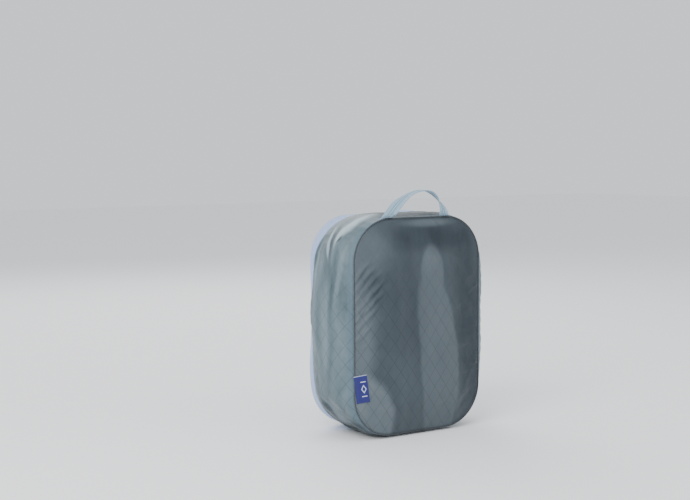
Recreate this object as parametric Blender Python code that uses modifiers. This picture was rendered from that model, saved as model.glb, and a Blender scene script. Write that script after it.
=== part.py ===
"""Soft packing cube with a compression zipper, as an assembly of its sewn pieces.

The case stands on its base. X runs across its width, Y from the front panel (-Y) to the back
panel (+Y), and Z up. The origin is at the centre of the base.
"""

import math

import bmesh
import bpy
from mathutils import Matrix, Vector

# Driving dimensions, in metres
WIDTH = 0.182
HEIGHT = 0.254
CORNER_RADIUS = 0.052
CORNER_STEPS = 6
SIDE_STEPS = 6
CLOTH = 0.0008
GAP = 0.0003

# Stations along the depth
FRONT_SEAM_Y = -0.0452
GUSSET_FRONT_Y = -0.0435
GUSSET_REAR_Y = 0.0212
TAPE_FRONT_Y = 0.0218
ZIP_LINE_Y = 0.0333
TAPE_REAR_Y = 0.0448
REAR_SEAM_Y = 0.0466
BACK_Y = 0.0490

# Insets from the outer outline, which is the widest line of the gusset
SEAM_INSET = 0.0036
PANEL_INSET = 0.0052
BAND_INSET = 0.0030
FRAME_INNER_INSET = 0.0130
TAPE_OUTER_INSET = 0.0134
MAIN_ZIP_INSET = 0.01885
TAPE_INNER_INSET = 0.0243
LID_INSET = 0.0246
BINDING_INSET = 0.0055
BINDING_WIDTH = 0.0056
PLEAT_INSET = 0.0072
PLEAT_DEPTH = 0.0098

# Swelling of the filled case: each side bows out at mid height, fullest behind the middle
SIDE_SWELL = 0.012
FULLEST_SHARE = 0.62
FRONT_SQUARENESS = 4.0
REAR_SQUARENESS = 2.2
UPRIGHT_SQUARENESS = 3.0

# Domes of the filled panels
FRONT_BULGE = 0.0073
LID_BULGE = 0.0022
DOME_POWER = 2.2
DOME_RINGS = 7

# Zippers
COIL_RADIUS = 0.0011
COIL_DEPTH = 0.0014
MAIN_COIL_Y = BACK_Y - CLOTH - GAP - COIL_RADIUS - 0.0002
TAPE_SPLIT = 0.0009
HINGE_X = WIDTH / 2 - 0.0188
HINGE_MARGIN = 0.0030
HINGE_Z = (CORNER_RADIUS + HINGE_MARGIN, HEIGHT - CORNER_RADIUS - HINGE_MARGIN)
ALL_CORNERS = (0, 1, 2, 3)
MAIN_CORNERS = (1, 2, 3, 0)
SLIDER_LENGTH = 0.0100
SLIDER_WIDTH = 0.0080
SLIDER_HEIGHT = 0.0014
PULL_PIVOT_HEIGHT = 0.0012
COMPRESSION_SLIDER_Z = 0.073
END_TAB_Z = 0.048
END_TAB_WIDTH = 0.0042
END_TAB_HEIGHT = 0.0120

# Pull, measured from its pivot down
LINK_WIDTH = 0.0052
LINK_LENGTH = 0.0095
LINK_ARM = 0.0012
LINK_THICKNESS = 0.0010
GRIP_WIDTH = 0.0060
GRIP_LENGTH = 0.0230
GRIP_THICKNESS = 0.0020

# Handle and label
HANDLE_SPAN = 0.078
HANDLE_RISE = 0.0285
HANDLE_WEBBING = 0.0140
WEBBING_THICKNESS = 0.0014
HANDLE_SEGMENTS = 24
HANDLE_FOOT_Z = HEIGHT - 0.0013
HANDLE_APEX_SHIFT = 0.005
LABEL_WIDTH = 0.0140
LABEL_HEIGHT = 0.0310
LABEL_CENTRE_Z = 0.060
LABEL_INSET = 0.0060
LABEL_Y = FRONT_SEAM_Y - 0.0011
LABEL_LEAN = math.radians(12)

PARTS = bpy.data.collections.new("packing_cube")
CUTTERS = bpy.data.collections.new("cutters")


def clear_scene():
    """Remove what a new file starts with."""
    for obj in list(bpy.data.objects):
        bpy.data.objects.remove(obj)


def material(name, colour, roughness, metallic=0.0):
    """A plain Principled material for one sub-part."""
    made = bpy.data.materials.new(name)
    made.use_nodes = True
    shader = made.node_tree.nodes["Principled BSDF"]
    shader.inputs["Base Color"].default_value = (*colour, 1.0)
    shader.inputs["Roughness"].default_value = roughness
    shader.inputs["Metallic"].default_value = metallic
    return made


def add_object(name, data, finish):
    """Link one sub-part to the model's collection with its own material."""
    obj = bpy.data.objects.new(name, data)
    PARTS.objects.link(obj)
    data.materials.append(material(name, *finish))
    return obj


# Outlines and profiles

def outline(inset, corners=ALL_CORNERS):
    """Rounded outline of the case in (x, z), moved inwards by inset, anticlockwise."""
    points = []
    radius = CORNER_RADIUS - inset
    for corner in corners:
        turn = math.radians(90 * corner - 45)
        centre_x = math.copysign(WIDTH / 2 - CORNER_RADIUS, math.cos(turn))
        centre_z = HEIGHT / 2 + math.copysign(HEIGHT / 2 - CORNER_RADIUS, math.sin(turn))
        for step in range(CORNER_STEPS + 1):
            angle = math.radians(90 * (corner - 1) + 90 * step / CORNER_STEPS)
            points.append((centre_x + radius * math.cos(angle), centre_z + radius * math.sin(angle)))
        if corner in (0, 2) and corner != corners[-1]:
            points += upright_points(points[-1], SIDE_STEPS)
    return points


def upright_points(start, steps):
    """Points between the end of one corner and the start of the next, up or down a side."""
    x, z = start
    run = HEIGHT - 2 * z
    return [(x, z + run * step / steps) for step in range(1, steps)]


def swell(x, y, z):
    """Outward move of a point at one side of the filled case; none at the seams, top and base."""
    share = (y - FRONT_SEAM_Y) / (REAR_SEAM_Y - FRONT_SEAM_Y)
    if not 0 < share < 1:
        return 0.0
    if share < FULLEST_SHARE:
        across = 1 - ((FULLEST_SHARE - share) / FULLEST_SHARE) ** FRONT_SQUARENESS
    else:
        across = 1 - ((share - FULLEST_SHARE) / (1 - FULLEST_SHARE)) ** REAR_SQUARENESS
    upward = 1 - min(abs(2 * z / HEIGHT - 1), 1.0) ** UPRIGHT_SQUARENESS
    return math.copysign(SIDE_SWELL * across * upward, x)


def wall(stations, thickness=CLOTH):
    """Profile of a thin wall whose outer side passes through (inset, y) stations, front to rear."""
    inner = [(inset + thickness, y) for inset, y in stations]
    return inner + list(reversed(stations))


def bar(inset_low, inset_high, y_low, y_high):
    """Rectangular profile."""
    return [(inset_low, y_low), (inset_high, y_low), (inset_high, y_high), (inset_low, y_high)]


def round_bar(inset, y, radius, sides):
    """Regular profile round one point."""
    turns = [2 * math.pi * side / sides for side in range(sides)]
    return [(inset + radius * math.cos(turn), y + radius * math.sin(turn)) for turn in turns]


# Shapes

def flat_curve(name, points, cyclic):
    """A 2D poly curve through the points."""
    curve = bpy.data.curves.new(name, "CURVE")
    curve.dimensions = "2D"
    curve.fill_mode = "NONE"
    spline = curve.splines.new("POLY")
    spline.points.add(len(points) - 1)
    for point, (across, along) in zip(spline.points, points):
        point.co = (across, along, 0.0, 1.0)
    spline.use_cyclic_u = cyclic
    return curve


def sweep(name, profile, finish, closed=True):
    """Carry an (inset, y) profile round the outline, or along all of it but the hinge side.

    Blender lays an open path's section on the other side from a closed path's, so it is turned over.
    """
    if closed:
        path = outline(0.0)
        section_points = [(inset, -y) for inset, y in profile]
    else:
        start, end = (WIDTH / 2, HINGE_Z[1] + GAP), (WIDTH / 2, HINGE_Z[0] - GAP)
        path = [start] + outline(0.0, MAIN_CORNERS) + [end]
        section_points = [(-inset, -y) for inset, y in reversed(profile)]
    section = flat_curve(name + "_profile", section_points, True)
    section_object = bpy.data.objects.new(name + "_profile", section)
    curve = flat_curve(name, path, closed)
    curve.bevel_mode = "OBJECT"
    curve.bevel_object = section_object
    curve.use_fill_caps = True
    standing = bpy.data.objects.new(name + "_sweep", curve)
    PARTS.objects.link(standing)
    bpy.context.view_layer.update()
    evaluated = standing.evaluated_get(bpy.context.evaluated_depsgraph_get())
    mesh = bpy.data.meshes.new_from_object(evaluated)
    bpy.data.objects.remove(standing)
    bpy.data.objects.remove(section_object)
    mesh.materials.clear()
    mesh.transform(Matrix.Rotation(math.radians(90), 4, "X"))
    shape = bmesh.new()
    shape.from_mesh(mesh)
    bmesh.ops.remove_doubles(shape, verts=shape.verts, dist=1e-6)
    for vert in shape.verts:
        if closed and abs(vert.co.x) > WIDTH / 2 - CORNER_RADIUS:
            vert.co.x += swell(*vert.co)
    shape.to_mesh(mesh)
    shape.free()
    return add_object(name, mesh, finish)


def domed_panel(name, inset, edge_y, bulge, finish):
    """A filled fabric panel: nested outlines that rise towards the middle, given a thickness.

    A negative bulge swells towards the front, a positive one towards the back.
    """
    reach = WIDTH / 2 - inset - 0.004
    shape = bmesh.new()
    previous = None
    for ring in range(DOME_RINGS):
        share = ring / (DOME_RINGS - 1)
        depth = reach * share
        y = edge_y + bulge * (1 - (1 - share) ** DOME_POWER)
        kept = min(inset + depth, CORNER_RADIUS - 0.002)
        narrowed = (WIDTH / 2 - inset - depth) / (WIDTH / 2 - kept)
        lowered = (HEIGHT / 2 - inset - depth) / (HEIGHT / 2 - kept)
        verts = [
            shape.verts.new((x * narrowed, y, HEIGHT / 2 + (z - HEIGHT / 2) * lowered))
            for x, z in outline(kept)
        ]
        edges = [shape.edges.new(pair) for pair in zip(verts, verts[1:] + verts[:1])]
        if previous:
            bmesh.ops.bridge_loops(shape, edges=previous + edges)
        previous = edges
    bmesh.ops.contextual_create(shape, geom=previous)
    bmesh.ops.recalc_face_normals(shape, faces=shape.faces)
    middle = max(shape.faces, key=lambda face: face.calc_area())
    if middle.normal.y * bulge < 0:
        bmesh.ops.reverse_faces(shape, faces=shape.faces)
    mesh = bpy.data.meshes.new(name)
    shape.to_mesh(mesh)
    shape.free()
    obj = add_object(name, mesh, finish)
    thickness = obj.modifiers.new("thickness", "SOLIDIFY")
    thickness.thickness = CLOTH
    thickness.offset = -1.0
    return obj


def block(name, low, high, finish, bevel=0.0):
    """A box between two corners, with rounded edges if bevel is given."""
    low, high = Vector(low), Vector(high)
    shape = bmesh.new()
    bmesh.ops.create_cube(shape, size=1.0)
    bmesh.ops.scale(shape, vec=high - low, verts=shape.verts)
    bmesh.ops.translate(shape, vec=(low + high) / 2, verts=shape.verts)
    mesh = bpy.data.meshes.new(name)
    shape.to_mesh(mesh)
    shape.free()
    obj = add_object(name, mesh, finish)
    if bevel:
        rounding = obj.modifiers.new("rounding", "BEVEL")
        rounding.width = bevel
        rounding.segments = 2
    return obj


def slab(name, points, thickness, finish):
    """A flat closed outline in local (x, y), given a thickness about its plane."""
    curve = flat_curve(name, points, True)
    curve.fill_mode = "BOTH"
    curve.extrude = thickness / 2
    return add_object(name, curve, finish)


# Sub-parts. Colours are linear RGB.

RIPSTOP = ((0.095, 0.130, 0.150), 0.45)
GUSSET_CLOTH = ((0.170, 0.225, 0.250), 0.45)
PIPING_CLOTH = ((0.050, 0.075, 0.090), 0.60)
TAPE = ((0.560, 0.650, 0.800), 0.75)
COIL = ((0.480, 0.570, 0.720), 0.40)
BINDING = ((0.250, 0.300, 0.360), 0.80)
WEBBING = ((0.440, 0.530, 0.620), 0.80)
LABEL_CLOTH = ((0.018, 0.030, 0.300), 0.60)
THREAD = ((0.030, 0.050, 0.060), 0.70)
ZINC = ((0.300, 0.320, 0.340), 0.35, 0.9)
RUBBER = ((0.300, 0.370, 0.450), 0.60)


def front_shell():
    """The fixed half: front panel, gusset, their seam, and the front half of the zipper."""
    gusset = [
        (SEAM_INSET, GUSSET_FRONT_Y),
        (0.0012, GUSSET_FRONT_Y + 0.0085),
        (0.0, GUSSET_FRONT_Y + 0.0185),
        (0.0, 0.0),
        (0.0, GUSSET_REAR_Y - 0.0142),
        (0.0012, GUSSET_REAR_Y - 0.0062),
        (SEAM_INSET, GUSSET_REAR_Y),
    ]
    tape = [
        (BAND_INSET + 0.0004, TAPE_FRONT_Y),
        (BAND_INSET, (TAPE_FRONT_Y + ZIP_LINE_Y) / 2),
        (BAND_INSET, ZIP_LINE_Y - GAP),
    ]
    coil = round_bar(BAND_INSET + CLOTH + COIL_DEPTH, ZIP_LINE_Y - COIL_RADIUS - GAP / 2, COIL_RADIUS, 6)
    half = CLOTH / 2
    pleat = [
        (PLEAT_INSET, TAPE_FRONT_Y - half),
        (PLEAT_INSET + PLEAT_DEPTH + half, ZIP_LINE_Y),
        (PLEAT_INSET, TAPE_REAR_Y + half),
        (PLEAT_INSET, TAPE_REAR_Y - half),
        (PLEAT_INSET + PLEAT_DEPTH - half, ZIP_LINE_Y),
        (PLEAT_INSET, TAPE_FRONT_Y + half),
    ]
    return [
        domed_panel("front_panel", PANEL_INSET, FRONT_SEAM_Y, -FRONT_BULGE, RIPSTOP),
        sweep("front_gusset", wall(gusset), GUSSET_CLOTH),
        sweep("front_piping", round_bar(SEAM_INSET, FRONT_SEAM_Y, 0.0013, 8), PIPING_CLOTH),
        sweep("front_seam_binding", binding(GUSSET_FRONT_Y - GAP), BINDING),
        sweep("gusset_hem_binding", binding(GUSSET_REAR_Y - BINDING_WIDTH / 2), BINDING),
        sweep("compression_tape_front", wall(tape), TAPE),
        sweep("compression_coil_front", coil, COIL),
        sweep("compression_pleat", pleat, RIPSTOP),
        end_tab(),
        block("handle_bar_tack_left", *bar_tack(-1), THREAD),
        block("handle_bar_tack_right", *bar_tack(1), THREAD),
    ]


def end_tab():
    """The cloth tab that covers the two ends of the compression zipper on the +X side."""
    half_width, half_height = END_TAB_WIDTH / 2, END_TAB_HEIGHT / 2
    tab = block(
        "compression_end_tab",
        (-half_width, -half_height, 0.0),
        (half_width, half_height, CLOTH),
        BINDING,
    )
    tab.matrix_world = side_frame(ZIP_LINE_Y - END_TAB_WIDTH / 2 - GAP, END_TAB_Z, 3 * GAP)
    return tab


def binding(start_y):
    """Profile of the woven strip that covers a raw edge inside the case."""
    return wall([(BINDING_INSET, start_y), (BINDING_INSET, start_y + BINDING_WIDTH)])


def bar_tack(side):
    """Corners of the stitched block that holds one foot of the handle into the seam."""
    x = side * HANDLE_SPAN / 2
    half = HANDLE_WEBBING / 2 - 0.001
    front = FRONT_SEAM_Y - 0.0022
    return (x - half, front, HEIGHT - 0.0050), (x + half, front + 0.0006, HEIGHT - 0.0024)


def rear_shell():
    """The half that moves back when the case expands: tape, piping and the back's rim."""
    tape = [
        (BAND_INSET, ZIP_LINE_Y + GAP),
        (BAND_INSET, (ZIP_LINE_Y + TAPE_REAR_Y) / 2),
        (BAND_INSET, TAPE_REAR_Y),
    ]
    coil = round_bar(BAND_INSET + CLOTH + COIL_DEPTH, ZIP_LINE_Y + COIL_RADIUS + GAP / 2, COIL_RADIUS, 6)
    outer_edge = MAIN_ZIP_INSET - TAPE_SPLIT / 2
    hinge_low = (HINGE_X + 0.0004, BACK_Y - CLOTH, HINGE_Z[0])
    hinge_high = (WIDTH / 2 - TAPE_OUTER_INSET, BACK_Y, HINGE_Z[1])
    main_coil = round_bar(MAIN_ZIP_INSET - COIL_RADIUS - GAP / 2, MAIN_COIL_Y, COIL_RADIUS, 6)
    return [
        sweep("compression_tape_rear", wall(tape), TAPE),
        sweep("compression_coil_rear", coil, COIL),
        sweep("rear_piping", round_bar(SEAM_INSET, REAR_SEAM_Y, 0.0013, 8), PIPING_CLOTH),
        sweep("rear_seam_binding", binding(TAPE_REAR_Y - BINDING_WIDTH / 2), BINDING),
        sweep("rear_frame_panel", bar(PANEL_INSET, FRAME_INNER_INSET, BACK_Y - CLOTH, BACK_Y), RIPSTOP),
        sweep("main_tape_outer", bar(TAPE_OUTER_INSET, outer_edge, BACK_Y - CLOTH, BACK_Y), TAPE, False),
        sweep("main_coil_outer", main_coil, COIL, False),
        block("hinge_tape_frame", hinge_low, hinge_high, BINDING),
        block("main_end_stop_lower", *end_stop(HINGE_Z[0]), ZINC),
        block("main_end_stop_upper", *end_stop(HINGE_Z[1]), ZINC),
    ]


def end_stop(z):
    """Corners of the metal stop crimped on one end of the main zipper's outer tape."""
    x = WIDTH / 2 - TAPE_OUTER_INSET - 0.0028
    tape_inside = BACK_Y - CLOTH - GAP
    return (x, tape_inside - 0.0011, z - 0.0015), (x + 0.0026, tape_inside, z + 0.0015)


def lid():
    """The back panel and its half of the main zipper, hinged along its +X side."""
    inner_edge = MAIN_ZIP_INSET + TAPE_SPLIT / 2
    main_coil = round_bar(MAIN_ZIP_INSET + COIL_RADIUS + GAP / 2, MAIN_COIL_Y, COIL_RADIUS, 6)
    hinge_low = (WIDTH / 2 - TAPE_INNER_INSET, BACK_Y - CLOTH, HINGE_Z[0])
    hinge_high = (HINGE_X - 0.0004, BACK_Y, HINGE_Z[1])
    return [
        domed_panel("lid_panel", LID_INSET, BACK_Y, LID_BULGE, RIPSTOP),
        sweep("main_tape_inner", bar(inner_edge, TAPE_INNER_INSET, BACK_Y - CLOTH, BACK_Y), TAPE, False),
        sweep("main_coil_inner", main_coil, COIL, False),
        sweep("lid_seam_binding", bar(0.0224, 0.0268, BACK_Y - 0.0028, BACK_Y - 0.0013), BINDING, False),
        block("hinge_tape_lid", hinge_low, hinge_high, BINDING),
    ]


def handle():
    """A webbing loop: its width lies along the seam at both feet and turns across at the top."""
    half_width = HANDLE_WEBBING / 2
    half_thick = WEBBING_THICKNESS / 2
    shape = bmesh.new()
    previous = None
    first = None
    for step in range(HANDLE_SEGMENTS + 1):
        angle = math.pi * (1 - step / HANDLE_SEGMENTS)
        rise = math.sin(angle)
        centre = Vector((
            HANDLE_SPAN / 2 * math.cos(angle) + HANDLE_APEX_SHIFT * rise,
            FRONT_SEAM_Y,
            HANDLE_FOOT_Z + HANDLE_RISE * rise ** 0.85,
        ))
        tangent = Vector((HANDLE_SPAN / 2 * rise, 0.0, HANDLE_RISE * -math.cos(angle))).normalized()
        turn = min(1.0, 1.6 * rise) * math.radians(80)
        level = Vector((0.0, 1.0, 0.0))
        along_seam = Vector((1.0, 0.0, 0.0))
        width_way = along_seam * math.cos(turn) + level * math.sin(turn)
        thin_way = width_way.cross(tangent).normalized() if turn else level
        corners = [(-1, -1), (1, -1), (1, 1), (-1, 1)]
        verts = [
            shape.verts.new(centre + width_way * across * half_width + thin_way * out * half_thick)
            for across, out in corners
        ]
        edges = [shape.edges.new(pair) for pair in zip(verts, verts[1:] + verts[:1])]
        if previous:
            bmesh.ops.bridge_loops(shape, edges=previous + edges)
        first = first or edges
        previous = edges
    bmesh.ops.contextual_create(shape, geom=first)
    bmesh.ops.contextual_create(shape, geom=previous)
    bmesh.ops.recalc_face_normals(shape, faces=shape.faces)
    mesh = bpy.data.meshes.new("handle_webbing")
    shape.to_mesh(mesh)
    shape.free()
    return [add_object("handle_webbing", mesh, WEBBING)]


def label():
    """A folded woven tab sewn into the front seam on the -X side."""
    obj = block(
        "side_label",
        (0.0, -CLOTH / 2, -LABEL_HEIGHT / 2),
        (LABEL_WIDTH, CLOTH / 2, LABEL_HEIGHT / 2),
        LABEL_CLOTH,
    )
    obj.location = (-WIDTH / 2 + LABEL_INSET, LABEL_Y, LABEL_CENTRE_Z)
    obj.rotation_euler = (0.0, 0.0, -LABEL_LEAN)
    return [obj]


def slider(name, facing, travel_along_pull):
    """Plate and bail of one zipper slider, about its pull's pivot line.

    Local -Y is the way its pull hangs, and local Z points away from the tape.
    """
    long_side, short_side = SLIDER_LENGTH / 2, SLIDER_WIDTH / 2
    half_x, half_y = (short_side, long_side) if travel_along_pull else (long_side, short_side)
    base = -PULL_PIVOT_HEIGHT - SLIDER_HEIGHT
    plate_name = name + "_body"
    shape = bmesh.new()
    plate = bmesh.ops.create_cube(shape, size=1.0)["verts"]
    bmesh.ops.scale(shape, vec=(2 * half_x, 2 * half_y, SLIDER_HEIGHT), verts=plate)
    bmesh.ops.translate(shape, vec=(0.0, 0.001, base + SLIDER_HEIGHT / 2), verts=plate)
    mesh = bpy.data.meshes.new(plate_name)
    shape.to_mesh(mesh)
    shape.free()
    body = add_object(plate_name, mesh, ZINC)
    bail = slider_bail(name + "_bail_cutter")
    joined = body.modifiers.new("bail", "BOOLEAN")
    joined.operation = "UNION"
    joined.object = bail
    body.matrix_world = facing
    bail.matrix_world = facing
    return body


def slider_bail(name):
    """The narrow arched bar on top of a slider, which the pull's fork hangs from."""
    shape = bmesh.new()
    bmesh.ops.create_cube(shape, size=1.0)
    height = PULL_PIVOT_HEIGHT + 0.0012
    bmesh.ops.scale(shape, vec=(0.0018, 0.0056, height), verts=shape.verts)
    bmesh.ops.translate(shape, vec=(0.0, 0.0014, height / 2 - PULL_PIVOT_HEIGHT - 0.0005), verts=shape.verts)
    mesh = bpy.data.meshes.new(name)
    shape.to_mesh(mesh)
    shape.free()
    cutter = bpy.data.objects.new(name, mesh)
    CUTTERS.objects.link(cutter)
    cutter.hide_render = True
    cutter.display_type = "WIRE"
    return cutter


def pull(name, facing):
    """A forked metal link and the moulded grip below it, hanging from the pivot line."""
    outer, inner = LINK_WIDTH / 2, LINK_WIDTH / 2 - LINK_ARM
    top = LINK_THICKNESS
    foot = -LINK_LENGTH
    fork = [
        (-outer, foot),
        (outer, foot),
        (outer, top),
        (inner, top),
        (inner, foot + 0.0035),
        (-inner, foot + 0.0035),
        (-inner, top),
        (-outer, top),
    ]
    link = slab(name + "_link", fork, LINK_THICKNESS, ZINC)
    link.matrix_world = facing
    grip = block(
        name + "_grip",
        (-GRIP_WIDTH / 2, foot - GAP - GRIP_LENGTH, -LINK_THICKNESS / 2),
        (GRIP_WIDTH / 2, foot - GAP, GRIP_THICKNESS - LINK_THICKNESS / 2),
        RUBBER,
        bevel=0.0006,
    )
    grip.matrix_world = facing
    return [link, grip]


# Assembly

def side_frame(y, z, stand_off):
    """Frame on the swollen +X side of the zipper band: local Z outwards, local Y up along it."""
    reach = 0.001
    rise_x = swell(1.0, y, z + reach) - swell(1.0, y, z - reach)
    across_x = swell(1.0, y + reach, z) - swell(1.0, y - reach, z)
    rise = Vector((rise_x, 0.0, 2 * reach)).normalized()
    across = Vector((across_x, 2 * reach, 0.0)).normalized()
    outward = across.cross(rise).normalized()
    point = Vector((WIDTH / 2 - BAND_INSET + swell(1.0, y, z), y, z))
    return facing_frame(point + outward * stand_off, rise.cross(outward), rise, outward)


def joint_empty(name, location, parent=None):
    """An empty on a joint's axis, which carries the pieces that turn or slide there."""
    empty = bpy.data.objects.new(name, None)
    PARTS.objects.link(empty)
    empty.location = location
    if parent:
        attach([empty], parent)
    return empty


def attach(children, parent):
    """Parent the pieces and leave them where they are."""
    bpy.context.view_layer.update()
    for child in children:
        child.parent = parent
        child.matrix_parent_inverse = parent.matrix_world.inverted()


def facing_frame(origin, sideways, up, outward):
    """World matrix whose local X, Y and Z are the given directions."""
    turned = Matrix((sideways, up, outward)).transposed().to_4x4()
    turned.translation = Vector(origin)
    return turned


def build():
    clear_scene()
    bpy.context.scene.collection.children.link(PARTS)
    bpy.context.scene.collection.children.link(CUTTERS)
    front_shell()

    rear = joint_empty("expansion_axis", (0.0, ZIP_LINE_Y, HEIGHT / 2))
    attach(rear_shell(), rear)
    lid_axis = joint_empty("lid_axis", (HINGE_X, BACK_Y + GAP, HEIGHT / 2), rear)
    attach(lid(), lid_axis)

    outward = PULL_PIVOT_HEIGHT + SLIDER_HEIGHT + GAP
    for side, word in ((-1, "left"), (1, "right")):
        pivot = (side * (SLIDER_LENGTH / 2 + 2 * GAP), BACK_Y + outward, HEIGHT - MAIN_ZIP_INSET - 0.001)
        facing = facing_frame(pivot, (-1, 0, 0), (0, 0, 1), (0, 1, 0))
        travel = joint_empty("main_slider_" + word + "_axis", pivot, lid_axis)
        attach([slider("main_slider_" + word, facing, False)], travel)
        swing = joint_empty("main_pull_" + word + "_axis", pivot, travel)
        attach(pull("main_pull_" + word, facing), swing)

    facing = side_frame(ZIP_LINE_Y, HEIGHT / 2, outward)
    facing.translation.z = COMPRESSION_SLIDER_Z
    travel = joint_empty("compression_slider_axis", facing.translation)
    attach([slider("compression_slider", facing, True)], travel)
    swing = joint_empty("compression_pull_axis", facing.translation, travel)
    attach(pull("compression_pull", facing), swing)

    attach(handle(), joint_empty("handle_axis", (0.0, FRONT_SEAM_Y, HANDLE_FOOT_Z)))
    attach(label(), joint_empty("label_axis", (-WIDTH / 2 + LABEL_INSET, LABEL_Y, LABEL_CENTRE_Z)))


build()
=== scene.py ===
"""Looks of the packing cube: dense cloth, tapes, coils, pulls, handle and label round the CAD frame.

Metres throughout. X runs across the width, Y from the front panel to the back panel, and Z up.
"""

import math
from contextlib import contextmanager

import bmesh
import bpy
import numpy as np
from mathutils import Matrix, Vector, geometry, noise


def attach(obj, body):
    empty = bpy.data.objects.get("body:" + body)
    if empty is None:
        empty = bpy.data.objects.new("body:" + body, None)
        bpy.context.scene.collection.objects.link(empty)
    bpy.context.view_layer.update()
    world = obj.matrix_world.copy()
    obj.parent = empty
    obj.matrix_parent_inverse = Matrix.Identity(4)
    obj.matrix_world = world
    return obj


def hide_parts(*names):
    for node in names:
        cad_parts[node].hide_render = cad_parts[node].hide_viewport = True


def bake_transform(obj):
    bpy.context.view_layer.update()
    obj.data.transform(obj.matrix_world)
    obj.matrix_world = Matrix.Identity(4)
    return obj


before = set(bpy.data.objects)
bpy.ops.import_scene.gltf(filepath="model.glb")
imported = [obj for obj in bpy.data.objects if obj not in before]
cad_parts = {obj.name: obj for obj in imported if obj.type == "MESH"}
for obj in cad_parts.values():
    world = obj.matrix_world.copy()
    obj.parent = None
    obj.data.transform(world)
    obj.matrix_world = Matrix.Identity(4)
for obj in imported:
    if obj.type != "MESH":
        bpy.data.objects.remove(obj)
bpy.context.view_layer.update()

# The case, as in the CAD
WIDTH = 0.182
HEIGHT = 0.254
CORNER_RADIUS = 0.052
GAP = 0.0003
FRONT_SEAM_Y = -0.0452
GUSSET_FRONT_Y = -0.0435
GUSSET_REAR_Y = 0.0212
TAPE_FRONT_Y = 0.0218
ZIP_LINE_Y = 0.0333
TAPE_REAR_Y = 0.0448
REAR_SEAM_Y = 0.0466
BACK_Y = 0.0490
SEAM_INSET = 0.0036
PANEL_INSET = 0.0048
FRONT_CLOTH_INSET = 0.0041
BAND_INSET = 0.0030
FRAME_INNER_INSET = 0.0130
TAPE_OUTER_INSET = 0.0132
MAIN_ZIP_INSET = 0.01885
TAPE_INNER_INSET = 0.0243
LID_INSET = 0.0238
BINDING_INSET = 0.0055
BINDING_WIDTH = 0.0056
PLEAT_INSET = 0.0062
PLEAT_DEPTH = 0.0098
SIDE_SWELL = 0.012
FULLEST_SHARE = 0.62
FRONT_SQUARENESS = 4.0
REAR_SQUARENESS = 2.2
UPRIGHT_SQUARENESS = 3.0
FRONT_BULGE = 0.0085
LID_BULGE = 0.0026
HINGE_MARGIN = 0.0030
HINGE_Z = (CORNER_RADIUS + HINGE_MARGIN, HEIGHT - CORNER_RADIUS - HINGE_MARGIN)
SLIDER_LENGTH = 0.0100
SLIDER_WIDTH = 0.0080
SLIDER_HEIGHT = 0.0014
PULL_PIVOT_HEIGHT = 0.0012
COMPRESSION_SLIDER_Z = 0.073
HANDLE_FEET = (-0.0410, 0.0376)
HANDLE_CREST_X = 0.006
HANDLE_RISE = 0.0282
# How round each leg of the loop is: 2 is a parabola, and more is squarer
LEG_ROUNDNESS = (2.0, 2.6)
# The feet run down behind the front seam
FOOT_DEPTH = 0.0060
FOOT_TUCK = 0.0028
# Shares of the loop over which the webbing turns from flat along the seam to flat across it
LEFT_TURN = 0.50
RIGHT_TURN = 0.36
HANDLE_STEPS = 120
# The photo's webbing looks narrower than the CAD's 14 mm
HANDLE_WEBBING = 0.0120
WEBBING_THICKNESS = 0.0014
HANDLE_FOOT_Z = HEIGHT - 0.0013
LABEL_WIDTH = 0.0140
LABEL_HEIGHT = 0.0310
LABEL_CENTRE_Z = 0.060
LABEL_INSET = 0.0060
LABEL_Y = FRONT_SEAM_Y - 0.0011
LABEL_LEAN = math.radians(14)
LABEL_ROOT = 0.0030
LABEL_SLANT = 0.13

# Detail of the visual pieces
STEP = 0.0022
CLOTH = 0.0004
TAPE_THICKNESS = 0.0007
COIL_PITCH = 0.0016
COIL_RADIUS = 0.0010
PANEL_STEP = 0.0023
DIAMOND = (0.016, 0.022)
# The grid's thread width as a share of a diamond, and the heights between which the grid fades
THREAD_SHARE = 0.036
GRID_FADE = (0.13, 0.225)
BINDING_THICKNESS = 0.0006
COIL_STEPS = 8
COIL_WIRE = 0.00026
COIL_FLATNESS = 0.62
# How far each coil's middle lies from the zipper's line
COIL_OFFSET = 0.00125
STITCH_STEP = 0.0008
TACK_STEPS = 40
LABEL_FOLD = 0.00042
PUCKER_PITCH = 0.0115
# The slider's bail in (y, z), the link's half sizes and drop, and the grip's span and ridged part
BAIL_ARCH = (
    (0.0042, -0.0018), (0.0040, -0.0004), (0.0032, 0.0008), (0.0018, 0.0013),
    (0.0004, 0.0013), (-0.0009, 0.0008), (-0.0014, -0.0004), (-0.0015, -0.0018),
)
LINK_SIZE = (0.0021, 0.0046)
LINK_DROP = 0.0044
LINK_WIRE = 0.00048
GRIP_SPAN = (-0.0079, -0.0325)
GRIP_RIDGES = (0.42, 0.90)
# Cloth simulation
SETTLE_FRAMES = 21
CLOTH_RULES = {
    "quality": 6,
    "mass": 0.15,
    "tension_stiffness": 30,
    "compression_stiffness": 30,
    "shear_stiffness": 10,
    "bending_stiffness": 0.05,
    "use_pressure": True,
}

# The left side is fuller behind its middle, and the zipper band humps up at the top right
LEFT_FULLNESS = 0.0056
LEFT_FULLEST_Z = 0.141
LEFT_SPREAD = 0.046
LEFT_ACROSS = (
    (FRONT_SEAM_Y, -0.012, 0.006, 0.014, TAPE_FRONT_Y, ZIP_LINE_Y, TAPE_REAR_Y, BACK_Y),
    (0.0, 0.55, 1.0, 1.25, 0.55, -0.05, -0.12, 0.0),
)
# The zipper band is fuller above and below that: height, spread and fullness of each place
BAND_PLACES = ((0.208, 0.030, 0.0024), (0.070, 0.034, 0.0034))
BAND_ACROSS = ((0.006, TAPE_FRONT_Y, ZIP_LINE_Y, 0.0405, REAR_SEAM_Y), (0.0, 0.7, 1.0, 0.85, 0.0))
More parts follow.
